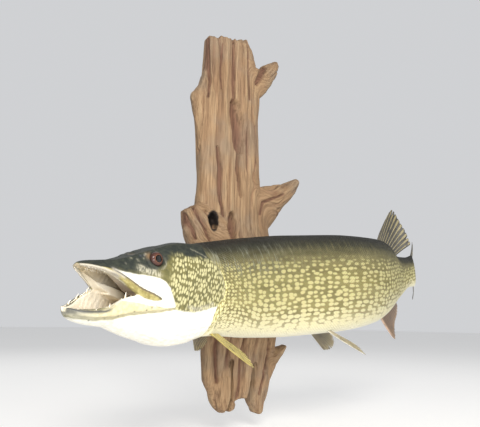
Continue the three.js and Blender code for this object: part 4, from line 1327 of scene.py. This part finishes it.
def tooth_material():
    n = Nodes("teeth", rough=0.2, coat=0.6, coat_rough=0.08)
    stain = n.step(n.noise(n.place(), 300.0), 0.4, 0.8, 0.0, 0.3)
    ivory = n.ramp(n.number("height"), (0.0, 222, 190, 150), (0.35, 240, 228, 200),
                   (1.0, 252, 250, 244))
    n.colour(n.mix(stain, ivory, rgb(225, 200, 160)))
    return n.material


def flesh_material():
    n = Nodes("tongue", rough=0.35, coat=0.5)
    place = n.place()
    n.colour(n.ramp(n.noise(place, 70.0, 4.0, 0.6), (0.3, 214, 178, 142),
                    (0.7, 243, 228, 204)))
    n.bump(n.noise(place, 700.0, 3.0), 0.0004, 0.8)
    return n.material


def place(obj, material, slot, *nodes):
    """Gives a piece its material, hangs it on the root and hides the CAD nodes that it stands
    for; the slot is not used.
    """
    dress(obj, material)
    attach(obj, "root")
    if nodes:
        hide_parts(*nodes)


glass = eye_material()
place(make_eye("eyeball_left", 1), glass, "eye", "eye_left")
place(make_eye("eyeball_right", -1), glass, "eye", "eye_right")
place(make_tongue(), flesh_material(), "mouth", "tongue")
place(make_teeth(), tooth_material(), "mouth")

# ---- scales
SCALE_LONG = curve([[0.25, 4.6], [0.3, 6.0], [0.7, 6.2], [0.8, 5.0], [0.9, 4.2]])  # pitch
SCALE_WIDE = curve([[0.25, 4.8], [0.3, 6.2], [0.7, 6.2], [0.8, 5.0], [0.9, 4.2]])
SCALE_START, SCALE_END = 0.252, 0.897
# A scale's outline as parts of its pitch: backwards, sideways; then its middle.
SCALE_RING = np.array([[1.02, 0], [0.86, 0.36], [0.42, 0.57], [-0.12, 0.5], [-0.42, 0],
                       [-0.12, -0.5], [0.42, -0.57], [0.86, -0.36]])
SCALE_MIDDLE = np.array([0.38, 0.0])
SCALE_SUNK, SCALE_LIFT = 0.30, 0.40  # millimetres below and above the skin
SCALE_CROWN, SCALE_FOOT = 0.34, -0.7  # heights of its middle, outside and inside
SCALE_PATCH = 0.0019  # a scale's pitch in the UV map


def angle_at(s, around):
    """The section's angle at a distance round from the back's middle, by s."""
    i, w = table_place(s)
    rows = AROUND[i] * (1 - w[:, None]) + AROUND[i + 1] * w[:, None]
    k = np.clip((rows < around[:, None]).sum(1), 1, rows.shape[1] - 1)
    n = np.arange(len(s))
    low, high = rows[n, k - 1], rows[n, k]
    t = np.clip((around - low) / np.maximum(high - low, 1e-9), 0, 1)
    return (k - 1 + t) * TABLE_ANGLE[1]


def scale_roots():
    """Staggered rows of s and of distance round the body, for one side."""
    roots = []
    s, column = SCALE_START, 0
    while s < SCALE_END:
        half, wide = float(half_girth(s)), float(SCALE_WIDE(s))
        around = 0.5 * half + (np.arange(-80, 81) + 0.5 * (column % 2)) * wide
        around = around[(around > 0.15 * wide) & (around < half - 0.15 * wide)]
        around = around + rng.normal(0, 0.16, len(around))
        roots.append(np.stack([s + rng.normal(0, 0.0002, len(around)), around], -1))
        s += float(SCALE_LONG(s)) * 0.5 / FISH_LENGTH
        column += 1
    return np.concatenate(roots)


def scale_mesh(name, plates, ring_height, patch):
    """Joins many small closed plates (n, k + 2, 3): a ring, its middle and its foot."""
    n, k = len(plates), plates.shape[1] - 2
    points = plates.reshape(-1, 3)
    a = np.arange(k)
    b = (a + 1) % k
    one = np.concatenate([np.stack([a, b, np.full(k, k)], -1),
                          np.stack([b, a, np.full(k, k + 1)], -1)])
    faces = (one[None] + (np.arange(n) * (k + 2))[:, None, None]).reshape(-1, 3)
    p = points[faces[:2 * k]]
    if (p[:, 0] * np.cross(p[:, 1], p[:, 2])).sum() < 0:
        faces = faces[:, ::-1]
    obj = quick_mesh(name, points, faces)
    layer = obj.data.uv_layers.new(name="OFBake")
    layer.data.foreach_set("uv", patch.reshape(-1, 2)[faces.ravel()].astype(np.float32).ravel())
    tip = np.clip((ring_height + SCALE_SUNK) / (SCALE_LIFT + SCALE_SUNK), 0, 1)
    attribute(obj.data, "tip", np.tile([*tip, 0.6, 0.0], n))
    return obj


def make_scales(side, material):
    s, around = scale_roots().T
    at = to_skull(body_surface(s, side * angle_at(s, around)))
    clear = at[:, 0] < COVER_EDGE_X(at[:, 2]) - 1.5
    s, around = s[clear], around[clear]
    long, wide = SCALE_LONG(s)[:, None], SCALE_WIDE(s)[:, None]
    size = 1 + rng.normal(0, 0.03, (len(s), 1))
    reach = (SCALE_RING[:, 0] - SCALE_RING[:, 0].min()) / np.ptp(SCALE_RING[:, 0])
    height = -SCALE_SUNK + (SCALE_LIFT + SCALE_SUNK) * reach
    local = np.concatenate([SCALE_RING, SCALE_MIDDLE[None], SCALE_MIDDLE[None]])
    lift = np.concatenate([height, [SCALE_CROWN, SCALE_FOOT]])
    s_all = np.clip(s[:, None] + local[:, 0] * long * size * 0.98 / FISH_LENGTH, 0.19, 0.915)
    around_all = around[:, None] + local[:, 1] * wide * size
    half = half_girth(s_all)
    over = np.clip(around_all, 0, half)
    angle = angle_at(s_all.ravel(), over.ravel()).reshape(s_all.shape)
    angle = angle + (around_all - over) / (half / math.pi)
    grow = lift * np.clip(long / 6.0, 0.6, 1) - COAT_DEPTH
    p = body_surface(np.minimum(s_all, TAIL_END), side * angle, grow)
    p = p + tailward(s_all) * (np.maximum(s_all - TAIL_END, 0) * FISH_LENGTH)[..., None]
    span = (SCALE_END - SCALE_START) * FISH_LENGTH
    centre = np.stack([0.02 + 0.94 * (s - SCALE_START) * FISH_LENGTH / span,
                       0.04 + 0.94 * around / span], -1)
    patch = centre[:, None] + (local - SCALE_MIDDLE)[None] * SCALE_PATCH
    obj = scale_mesh("scales_left" if side > 0 else "scales_right", p, height, patch)
    finish_skin(obj, material)
    return obj


scale_look = skin_material("scales", True)
for hand in (1, -1):
    scales = make_scales(hand, scale_look)
    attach(scales, "root")

# ---- fins


FIN_ACROSS, FIN_OUT = 9, 46  # points across each ray's share, and from root to edge
FIN_SUNK = 3.0  # how deep a fin's root lies in the body


def fin_sheet(name, count, base, ray, sideways, bow, root, waves=1.5, out=FIN_OUT):
    """A closed thin sheet of branching rays with membrane between them, thicker at its root."""
    u = np.linspace(0, 1, count * FIN_ACROSS + 1)[:, None]
    v = np.linspace(0, 1, out)[None]
    pitch = np.where(u >= 1, -0.5, (u * count) % 1 - 0.5 + 0 * v)
    fork, twig = 0.12 * smoothstep(0.4, 0.9, v), 0.06 * smoothstep(0.7, 1, v)
    rays = np.max([gaussian(pitch - a * fork - b * twig, 0.15 - 0.09 * v) for a in (-1, 1)
                   for b in (-1, 1)], axis=0)
    index = np.floor(u * count).astype(np.int64)
    nick = hashed(index, 0 * index, 0, len(name) + 7)
    tip = gaussian(np.abs(pitch[:, -1:]) - 0.5, 0.17)
    torn = 1 - tip * (0.035 + 0.12 * (nick > 0.78)) - 0.012 * noise(
        np.concatenate([u * 40, 0 * u, 0 * u], 1), 3)[:, None]
    reach = v * (1 + (np.clip(torn, 0.8, 1) - 1) * v ** 3)
    thick = (0.22 + (0.95 - 0.7 * v) * rays) * (1 - 0.35 * v)
    thick = thick + root * 0.6 * smoothstep(0.12, 0.0, v)
    thick = thick * np.where((u <= 0) | (u >= 1), 0.25, 1)
    side = sideways(u[:, 0])
    ripple = waves * np.sin(u * 9.0 + 1.0) * v ** 2 + 0.35 * rays * np.sin(v * 3)
    lift = bow(u) * v ** 2 + ripple
    middle = (base(u[:, 0])[:, None] + ray(u[:, 0])[:, None] * reach[..., None]
              + side[:, None] * lift[..., None])
    thick = side[:, None] * thick[..., None]
    points, faces = loft(np.concatenate([middle + thick, (middle - thick)[:, ::-1]], 1))
    obj = mesh_object(name, points, faces, MM)
    pair = [np.concatenate([k, k[:, ::-1]], 1) for k in (rays, u + 0 * v, v + 0 * u)]
    attribute(obj.data, "ray", np.stack([[*k.ravel(), 0, 0] for k in pair], -1))
    return obj


def middle_fin(name, count, start, end, edge, up, lean, length, bow):
    def at(u):
        return start + (end - start) * u

    def base(u):
        return body_point(at(u), 0 * u, up * (edge(at(u)) - FIN_SUNK))

    def ray(u):
        _, back, _, rise = body_frame(at(u))
        angle = np.radians(lean[0] + (lean[1] - lean[0]) * u)[:, None]
        return (rise * up * np.cos(angle) + back * np.sin(angle)) * length(u)[:, None]
    return fin_sheet(name, count, base, ray, lambda u: body_frame(at(u))[2], bow, 2.2)


TAIL_TURN = 22  # degrees that the tail fin bends towards the wall from the body's end
TAIL_TWIST = 8  # degrees that it is turned about its own length


def caudal_fin(name, count):
    length = curve([[0, 110], [0.12, 124], [0.3, 99], [0.5, 74], [0.7, 99], [0.88, 124],
                    [1, 110]])
    end = np.array(TAIL_END - 0.006)
    _, back, left, rise = body_frame(end)
    turn, twist = math.radians(TAIL_TURN), math.radians(TAIL_TWIST)
    back = back * math.cos(turn) - left * math.sin(turn)
    rise = rise * math.cos(twist) + np.cross(back, rise) * math.sin(twist)
    left = np.cross(back, rise)

    def ray(u):
        angle = np.radians(24 - 48 * u)[:, None]
        return (back * np.cos(angle) + rise * np.sin(angle)) * (length(u)[:, None] + 4)
    return fin_sheet(name, count, lambda u: body_point(end + 0 * u, 0 * u, 49 - 77 * u), ray,
                     lambda u: np.broadcast_to(left, (len(u), 3)), lambda u: -6, 4.0, out=56)


def paired_fin(name, hand, count, root, run_length, ahead, behind, outline, size):
    """A fin of a pair, from its root (s, side, height) and its first and last directions."""
    s, side, height = (np.array(value, float) for value in root)
    _, back, left, up = body_frame(s)
    first, last = (unit(back * part[0] + left * hand * part[1] + up * part[2])
                   for part in (ahead, behind))
    start = body_point(s, hand * side, height) - unit(first + last) * FIN_SUNK
    run = unit(back + up * 0.1) * run_length
    across = unit(np.cross(first, last))

    def ray(u):
        u = u[:, None]
        return unit(first * (1 - u) + last * u) * size * outline(u)
    return fin_sheet(name, count, lambda u: start + run * u[:, None], ray,
                     lambda u: np.broadcast_to(across, (len(u), 3)), lambda u: 4 * hand, 3.2, 1.0)


def fin_material(name, *tones):
    """A fin's looks; the tones are those of its membrane, rays, edge, blotches and front."""
    membrane, spine, edge, blotch, lead = (rgb(*tone) for tone in tones)
    n = Nodes(name, rough=0.38, coat=0.4)
    ray, u, v = n.parts(n.attribute("ray"))
    joints = n.math("SINE", v * 260.0)
    patch = n.noise(n.stretched((u, 5.0), (v, 3.2)))
    streak = n.noise(n.stretched((u, 90.0), (v, 6.0)), detail=3.0)
    film = n.mix(n.step(streak, 0.35, 0.7), membrane, n.mix(0.18, membrane, spine))
    film = n.mix(n.step(v, 0.7, 1.0), film, edge)
    bone = n.mix(n.step(joints, 0.2, 0.9, 0.0, 0.22), spine, membrane)
    tone = n.mix(n.step(ray, 0.3, 0.75), film, bone)
    tone = n.mix(n.step(u, 0.11, 0.05), tone, lead)
    n.colour(n.mix(n.step(patch, 0.54, 0.66, 0.0, 0.75), tone, blotch))
    n.bump(streak + joints * 0.15, 0.0004, 0.6)
    return n.material


pectoral = curve([[0, 92], [0.3, 103], [0.65, 88], [1, 58]])
pelvic = curve([[0, 86], [0.3, 93], [0.65, 80], [1, 52]])
brown = fin_material("fin_brown", (38, 34, 26), (142, 130, 88), (50, 44, 31),
                     (34, 31, 26), (84, 76, 54))
orange = fin_material("fin_orange", (74, 52, 33), (150, 120, 86), (106, 78, 51),
                      (58, 43, 32), (196, 164, 138))
yellow = fin_material("fin_yellow", (84, 76, 42), (204, 186, 108), (116, 102, 58),
                      (80, 70, 40), (204, 186, 108))
pale = fin_material("fin_pale", (96, 87, 66), (178, 168, 138), (140, 130, 104),
                    (84, 76, 58), (234, 228, 206))
# painted shade: a darker copy of the paired fins' looks for the right-hand fins, on the far side
# in shadow
shaded_fins = fin_material("fin_shaded", (54, 47, 35), (164, 150, 114), (108, 97, 72),
                     (46, 41, 32), (120, 110, 84))
place(middle_fin("fin_dorsal", 11, 0.722, 0.815, BACK, 1, (36, 68),
                 curve([[0, 42], [0.1, 84], [0.22, 124], [0.36, 131], [0.5, 127], [0.65, 119],
                        [0.8, 108], [1, 92]]), lambda u: 4 + 7 * u), brown, "fin", "dorsal_fin")
place(middle_fin("fin_anal", 13, 0.7, 0.795, BELLY, -1, (48, 64),
                 curve([[0, 66], [0.08, 102], [0.2, 98], [0.5, 75], [0.8, 54], [1, 36]]),
                 lambda u: -5 * u), orange, "fin", "anal_fin")
place(caudal_fin("fin_caudal", 19), brown, "fin", "caudal_fin")
# Piece, node, hand, rays, root, its length, the first and last rays' directions (tailward,
# outward, up), the outline and its scale, the looks.
PAIRED_FINS = [
    ("fin_pectoral_left", "pectoral_fin_left", 1, 9, (0.259, 22, -86), 13,
     (0.63, 0.33, -0.7), (0.75, 0.19, -0.65), pectoral, 1, yellow),
    ("fin_pectoral_right", "pectoral_fin_right", -1, 11, (0.257, 30, -80), 17,
     (0.54, 0.56, -0.54), (0.75, 0.4, -0.38), pectoral, 0.92, shaded_fins),
    ("fin_pelvic_left", "pelvic_fin_left", 1, 8, (0.512, 20, -102), 8,
     (0.6, 0.48, -0.62), (0.76, 0.26, -0.6), pelvic, 1.06, pale),
    ("fin_pelvic_right", "pelvic_fin_right", -1, 10, (0.5, 30, -96), 22,
     (0.68, 0.3, -0.68), (0.92, 0.1, -0.5), pelvic, 1.05, shaded_fins)]
for piece, node, *shape, looks in PAIRED_FINS:
    place(paired_fin(piece, *shape), looks, "fin", node)

# ---- driftwood
SLAB_TOP = 290
SLAB_FOOT = -548
SLAB_LEFT = curve([[-560, 0], [-535, -34], [-504, -52], [-437, -57], [-330, -60],
                   [-225, -72], [-150, -84], [-100, -80], [-52, -84], [37, -92], [80, -102],
                   [95, -106], [120, -90], [173, -76], [290, -74]])
SLAB_RIGHT = curve([[-584, 118], [-546, 115], [-499, 126], [-440, 142], [-300, 140],
                    [-192, 119], [-156, 115], [-100, 96], [-37, 88], [62, 84], [150, 90],
                    [226, 76], [290, 48]])
SLAB_DEPTH = curve([[-585, 34], [-540, 52], [-450, 64], [-400, 76], [-330, 84], [-250, 80],
                    [-170, 66], [0, 62], [150, 60], [250, 54], [290, 46]])
SLAB_SIDE_Y = 27
# Branches and legs: x, y, z of a bent line, with half widths across and towards the front.
SNAGS = [
    [[45, -30, 160, 46, 27], [95, -31, 195, 33, 25], [132, -34, 232, 18, 17],
     [150, -36, 256, 9, 10]],
    [[65, -32, -150, 60, 29], [125, -33, -112, 42, 26], [180, -35, -78, 23, 18],
     [224, -38, -42, 8, 9]],
    [[-30, -34, -262, 52, 28], [-82, -34, -200, 36, 25], [-106, -34, -160, 20, 17]],
    [[105, -30, -490, 34, 25], [146, -31, -462, 17, 17], [183, -32, -444, 6, 8]],
    [[-2, -31, -500, 44, 27], [0, -30, -540, 32, 25], [12, -28, -568, 15, 18]],
    [[95, -30, -500, 34, 27], [93, -29, -545, 25, 24], [98, -27, -582, 13, 17]],
]
SNAG_STEPS = 30
WOOD_VOXEL = 2.0


def bent_line(stops):
    """Even points (x, y, z and two half widths) along a line through a few stops."""
    stops = np.array(stops, float)
    t = np.linspace(0, 1, len(stops))
    fine = np.linspace(0, 1, SNAG_STEPS)
    return np.stack([curve(list(zip(t, stops[:, k])))(fine) for k in range(5)], -1)


def torn_edge(x, y):
    """Height of the broken top above each place."""
    def ragged(wide, deep, height, seed):
        place = np.stack([x / wide, y / deep, 0 * x + height], -1)
        return noise(place.reshape(-1, 3), seed).reshape(x.shape)
    return 241 + 0.309 * (x + 76) + 7 * ragged(17.0, 20.0, 3, 31) + 4.5 * ragged(5.0, 9.0, 0, 32)


SLAB_ROWS, SLAB_COLUMNS = 320, 110


def slab_body():
    z = np.linspace(SLAB_FOOT, SLAB_TOP, SLAB_ROWS)[:, None]
    left, right, depth = SLAB_LEFT(z), SLAB_RIGHT(z), SLAB_DEPTH(z)
    t = np.linspace(0, 1, SLAB_COLUMNS)[None]
    x = left + (right - left) * (1 - np.cos(math.pi * t)) / 2
    y = -SLAB_SIDE_Y - (depth - SLAB_SIDE_Y) * np.clip(np.sin(math.pi * t), 0, 1) ** 0.6
    # The back is flat, with worn edges: four more columns close each ring.
    x = np.concatenate([x, right - 4, right - 20, left + 26, left + 9], 1)
    y = np.concatenate([y, np.broadcast_to([-13, 0, 0, -11], (SLAB_ROWS, 4))], 1)
    return loft(np.stack([x, y, np.minimum(np.broadcast_to(z, x.shape), torn_edge(x, y))], -1))


def snag_body(stops):
    line = bent_line(stops)
    path = line[:, :3]
    along = unit(np.gradient(path, axis=0))
    wide = unit(np.stack([along[:, 2], 0 * along[:, 0], -along[:, 0]], -1))
    return swept(path, wide, *oval(36, line[:, 3], line[:, 4], line[:, 4], 2.2))


def grain_field(p):
    """Distances across and along the grain, and where it turns to follow a branch."""
    q = p[:, [0, 2]]
    across, along, turning = q[:, 0].copy(), q[:, 1].copy(), np.zeros(len(q))
    for stops in SNAGS:
        line = bent_line(stops)
        path = line[:, [0, 2]]
        d, where = path_distance(q, path)
        place = where * (SNAG_STEPS - 1)
        i = np.minimum(place.astype(int), SNAG_STEPS - 2)
        ahead = unit(path[i + 1] - path[i])
        rising = np.sign(path[-1, 1] - path[0, 1])
        off = q - path[i]
        aside = (off[:, 0] * ahead[:, 1] - off[:, 1] * ahead[:, 0]) * rising
        length = np.linalg.norm(path[-1] - path[0])
        radius = np.interp(place, np.arange(SNAG_STEPS), line[:, 3])
        weight = smoothstep(0.02, 0.4, where) * (1 - smoothstep(0.9, 1.5, d / radius))
        across += weight * (aside + path[0, 0] - across)
        along += weight * (rising * where * length + path[0, 1] - along)
        turning = np.maximum(turning, 4 * weight * (1 - weight))
    return across, along, turning


# Carved features of the front: a path in x and z, half width, depth.
CARVINGS = [
    ([[-8, 290], [-5, 178], [-5, 104]], 5.0, 9.0),
    ([[-4, 92], [3, 60], [8, 30], [8, -8]], 14.0, 18.0),
    ([[3, -12], [5, -60], [11, -118]], 4.2, 13.0),
    ([[-74, 250], [-72.5, 178], [-71, 128], [-80, 90]], 2.6, 5.0),
    ([[-113, -150], [-91, -187], [-69, -226]], 3.4, 7.0),
    ([[-133, -158], [-116, -195], [-100, -226]], 3.2, 6.0),
    ([[66, 170], [84, 205], [100, 232]], 6.0, 8.0),
    ([[-12, -166], [-13, -212]], 7.5, 16.0),
    ([[40, 270], [36, 200], [44, 120]], 2.4, 3.5),
    ([[-40, 235], [-46, 170], [-43, 120]], 2.0, 2.6),
    ([[-52, -20], [-44, -70], [-46, -120], [-34, -170]], 4.0, 6.0),
    ([[60, 60], [66, 0], [58, -50]], 2.0, 2.6),
    ([[78, -150], [84, -120], [120, -104], [158, -88]], 2.6, 3.6),
    ([[30, -380], [20, -450], [24, -520], [20, -552]], 3.2, 6.0),
    ([[86, -380], [104, -450], [84, -540]], 3.0, 6.0),
    ([[-40, -370], [-44, -440], [-34, -510]], 2.8, 5.0),
]


def wood_relief(p, across, along, turning):
    """How far the worn surface stands in or out, and how much of that is a hollow."""
    y = p[:, 1]

    def rough(wide, deep, long, seed, over=across):
        return noise(np.stack([over / wide, y / deep, along / long], -1), seed)
    wavy = across + 3.5 * rough(30, 60, 55, 47)
    flute = 1 - np.abs(rough(12, 26, 150, 42, wavy)) * 2
    fine = 1 - np.abs(rough(4.2, 12, 70, 43, wavy)) * 2
    crack = smoothstep(0.075, 0.0, np.abs(rough(16, 40, 190, 44))) * smoothstep(
        0.0, 0.3, rough(30, 60, 90, 45))
    h = 2.6 * rough(34, 50, 150, 41) + (1 - 0.7 * turning) * (
        2.3 * (flute - 0.5) + 0.9 * (fine - 0.5) - 4.0 * crack)
    hollow = 0.5 * crack + 0.35 * smoothstep(0.1, -0.7, flute) + 0.2 * smoothstep(0.1, -0.6, fine)
    hollow = hollow * (1 - 0.8 * turning)
    q = p[:, [0, 2]].copy()
    q[:, 0] += 1.6 * noise(np.stack([along / 24, y / 30, 0 * y], -1), 46)
    front = smoothstep(-14, -30, y)
    for path, width, depth in CARVINGS:
        d, where = path_distance(q, path)
        wide = width * (0.65 + 0.7 * np.sin(math.pi * np.clip(where, 0.04, 0.96)) ** 0.5)
        cut_in = smoothstep(1.5, 0.45, d / wide) * front
        h = h - depth * cut_in
        hollow = np.maximum(hollow, cut_in)
    return h, np.clip(hollow, 0, 1)


HOLE_X, HOLE_Z = -59, -184
HOLE_WIDE, HOLE_TALL = 8, 19  # half its size
SPLIT_DEPTHS = ((-130, 8), (-30, 8), (30, 8))  # y, and how wide the foot's split is there


def wood_tools():
    """What the plain slab is cut by: its hole, its two splits and the fish on its seat."""
    angle = np.linspace(0, 2 * math.pi, 40, endpoint=False)
    y = np.linspace(-130, 30, 12)[:, None]
    wide = HOLE_WIDE + 1.4 * np.sin(3 * angle + y / 20)
    tall = HOLE_TALL + 2 * np.sin(2 * angle + y / 15)
    hole = np.stack([HOLE_X + wide * np.cos(angle), y + 0 * angle,
                     HOLE_Z + tall * np.sin(angle)], -1)
    split = [[(66 - w / 2, y, -476), (66 + w / 2, y, -476), (63 + w, y, -560),
              (60 + w, y, -620), (48 - w, y, -620), (56 - w, y, -560)] for y, w in SPLIT_DEPTHS]
    slit = [[(-3, y, -462), (3, y, -470), (8, y, -540), (5, y, -600), (-7, y, -600),
             (0, y, -540)] for y in (-130, -26)]
    seat = from_skull(body_front(0.2, 0.62, lambda s: 0.9 + 0 * s))
    tools = [mesh_object("tool", *loft(rings)) for rings in (hole, split, slit, seat)]
    nape = [upper_head(-20, 60, 1.4, 0), lower_head(-20, 60, 1.4)]
    for tool in nape:
        move_to_part(tool)
    return tools + nape


def make_driftwood():
    wood = merged("driftwood_worn", mesh_object("slab", *slab_body()),
                  *(mesh_object("snag", *snag_body(stops)) for stops in SNAGS))
    modified(wood, "REMESH", mode="VOXEL", voxel_size=2.6)
    tools = wood_tools()
    for tool in tools:
        cut(wood, tool)
    drop(*tools)
    modified(wood, "REMESH", mode="VOXEL", voxel_size=WOOD_VOXEL)
    surface = Surface(wood.data)
    surface.relax(2)
    across, along, turning = grain_field(surface.co)
    h, hollow = wood_relief(surface.co, across, along, turning)
    surface.push(h * (0.25 + 0.75 * smoothstep(-3, -14, surface.co[:, 1])))
    surface.co[:, 1] = np.minimum(surface.co[:, 1], 0)
    surface.relax(1, 1.0, 0.3)
    x, y, z = surface.co.T
    bore = np.hypot((x - HOLE_X) / 13, (z - HOLE_Z) / 24.5)
    attribute(wood.data, "grain", np.stack([across, y, along], -1) * MM)
    attribute(wood.data, "hollow", hollow)
    attribute(wood.data, "turning", turning)
    # mask of the hole's inside, where painted shade goes
    attribute(wood.data, "hole_shade", smoothstep(1.0, 0.85, bore) * smoothstep(-74, -62, y))
    set_points(wood.data, surface.co * MM)
    return wood


def wood_material():
    n = Nodes("driftwood", rough=0.78, specular=0.3)
    grain, hollow = n.attribute("grain"), n.number("hollow")
    across, deep, along = n.parts(grain)
    fine = n.noise(n.stretched((across, 420.0), (deep, 260.0), (along, 15.0)),
                   detail=5.0, rough=0.68)
    bands = n.noise(n.stretched((across, 85.0), (deep, 55.0), (along, 3.2)), detail=3.0)
    weather = n.noise(grain, 9.0, 4.0, 0.6)
    tone = n.ramp(bands, (0.25, 104, 78, 56), (0.42, 142, 114, 85), (0.55, 155, 128, 97),
                  (0.75, 171, 146, 114))
    tone = n.mix(n.step(weather, 0.42, 0.62, 0.0, 0.55), tone, rgb(130, 117, 101))
    tone = n.mix(n.number("turning") * 0.8, tone, rgb(150, 122, 92))
    lines = n.step(fine, 0.3, 0.62)
    tone = n.mix(lines, n.mix(0.55, tone, rgb(78, 54, 38)), tone)
    # painted shade: cracks, flutes and carved grooves darken where they sink in
    tone = n.mix(hollow * 0.85, tone, n.mix(lines, rgb(58, 36, 28), rgb(108, 74, 58)))
    # painted shade: the inside of the bored hole is near black
    n.colour(n.mix(n.number("hole_shade"), tone, rgb(34, 26, 22)))
    n.rough(n.step(fine, 0.2, 0.8, 0.86, 0.68))
    n.bump(fine + bands * 0.6, 0.0016, 0.8)
    return n.material


place(make_driftwood(), wood_material(), "driftwood", "driftwood")

# ---- camera, floor and light
GROUND = cad_box[0][2] - 0.03
FLOOR_REACH = 14.0
CENTRE = (0.0, -0.1, -0.25)
BACKDROP_LIGHTS, BACKDROP_SHOWS = 0.42, 0.85
IMAGE_WIDTH = 480
FOCAL_PX = 510.48
CAMERA_AT = np.array([-719.37, -871.72, -389.49])
CAMERA_AZIMUTH, CAMERA_PITCH, CAMERA_ROLL = (math.radians(v) for v in (-42.06, 11.96, 0.78))


def make_camera():
    az, pitch, roll = CAMERA_AZIMUTH, CAMERA_PITCH, CAMERA_ROLL
    ahead = np.array([-math.sin(az) * math.cos(pitch), math.cos(az) * math.cos(pitch),
                      math.sin(pitch)])
    level = np.array([math.cos(az), math.sin(az), 0.0])
    rise = np.cross(level, ahead)
    right = level * math.cos(roll) + rise * math.sin(roll)
    up = rise * math.cos(roll) - level * math.sin(roll)
    data = bpy.data.cameras.new("camera")
    data.sensor_fit = "HORIZONTAL"
    data.sensor_width = 36.0
    data.lens = 36.0 * FOCAL_PX / IMAGE_WIDTH
    data.clip_end = 50.0
    camera = linked("camera", data)
    axes = np.stack([right, up, -ahead], 1)
    camera.matrix_world = Matrix.Translation(CAMERA_AT * MM) @ Matrix(axes.tolist()).to_4x4()
    bpy.context.scene.camera = camera


def make_floor():
    corners = ((-1, -1), (1, -1), (1, 1), (-1, 1))
    floor = mesh_object("floor", [[x * FLOOR_REACH, y * FLOOR_REACH, GROUND] for x, y in corners],
                        [[0, 1, 2, 3]])
    n = Nodes("floor", rough=0.85)
    n.shader.inputs["Emission Color"].default_value = (0.97, 0.98, 1.0, 1.0)
    n.shader.inputs["Emission Strength"].default_value = 0.36
    tint = n.noise(n.place(), 1.3)
    n.colour(n.mix(tint, rgb(216, 215, 212), rgb(222, 221, 219)))
    dress(floor, n.material)


def area_light(name, place, size, power, colour=(1, 1, 1)):
    """A rectangle of light that faces the middle of the mount."""
    data = bpy.data.lights.new(name, "AREA")
    data.shape = "RECTANGLE"
    data.size, data.size_y = size
    data.energy = power
    data.color = colour
    obj = linked(name, data)
    obj.location = place
    obj.rotation_euler = (Vector(CENTRE) - Vector(place)).to_track_quat("-Z", "Y").to_euler()


def make_world():
    """A pale backdrop, which lights the fish less than it shows."""
    world = bpy.data.worlds.new("world")
    bpy.context.scene.world = world
    world.use_nodes = True
    tree = world.node_tree
    backdrop = tree.nodes["Background"]
    backdrop.inputs["Color"].default_value = (0.74, 0.75, 0.77, 1)
    strength = tree.nodes.new("ShaderNodeMapRange")
    strength.inputs["To Min"].default_value = BACKDROP_LIGHTS
    strength.inputs["To Max"].default_value = BACKDROP_SHOWS
    seen = tree.nodes.new("ShaderNodeLightPath").outputs["Is Camera Ray"]
    tree.links.new(seen, strength.inputs["Value"])
    tree.links.new(strength.outputs[0], backdrop.inputs["Strength"])
    bpy.context.scene.view_settings.view_transform = "Standard"


make_camera()
make_floor()
make_world()
area_light("key", (-1.5, -2.2, 1.0), (1.3, 1.0), 78, (1.0, 0.97, 0.92))
area_light("fill", (1.8, -2.0, 0.2), (2.0, 2.0), 18)
area_light("low", (-1.1, -2.2, -0.4), (1.6, 0.5), 26, (1.0, 0.98, 0.95))
area_light("back", (0.5, 1.8, 1.5), (2.4, 1.2), 14)
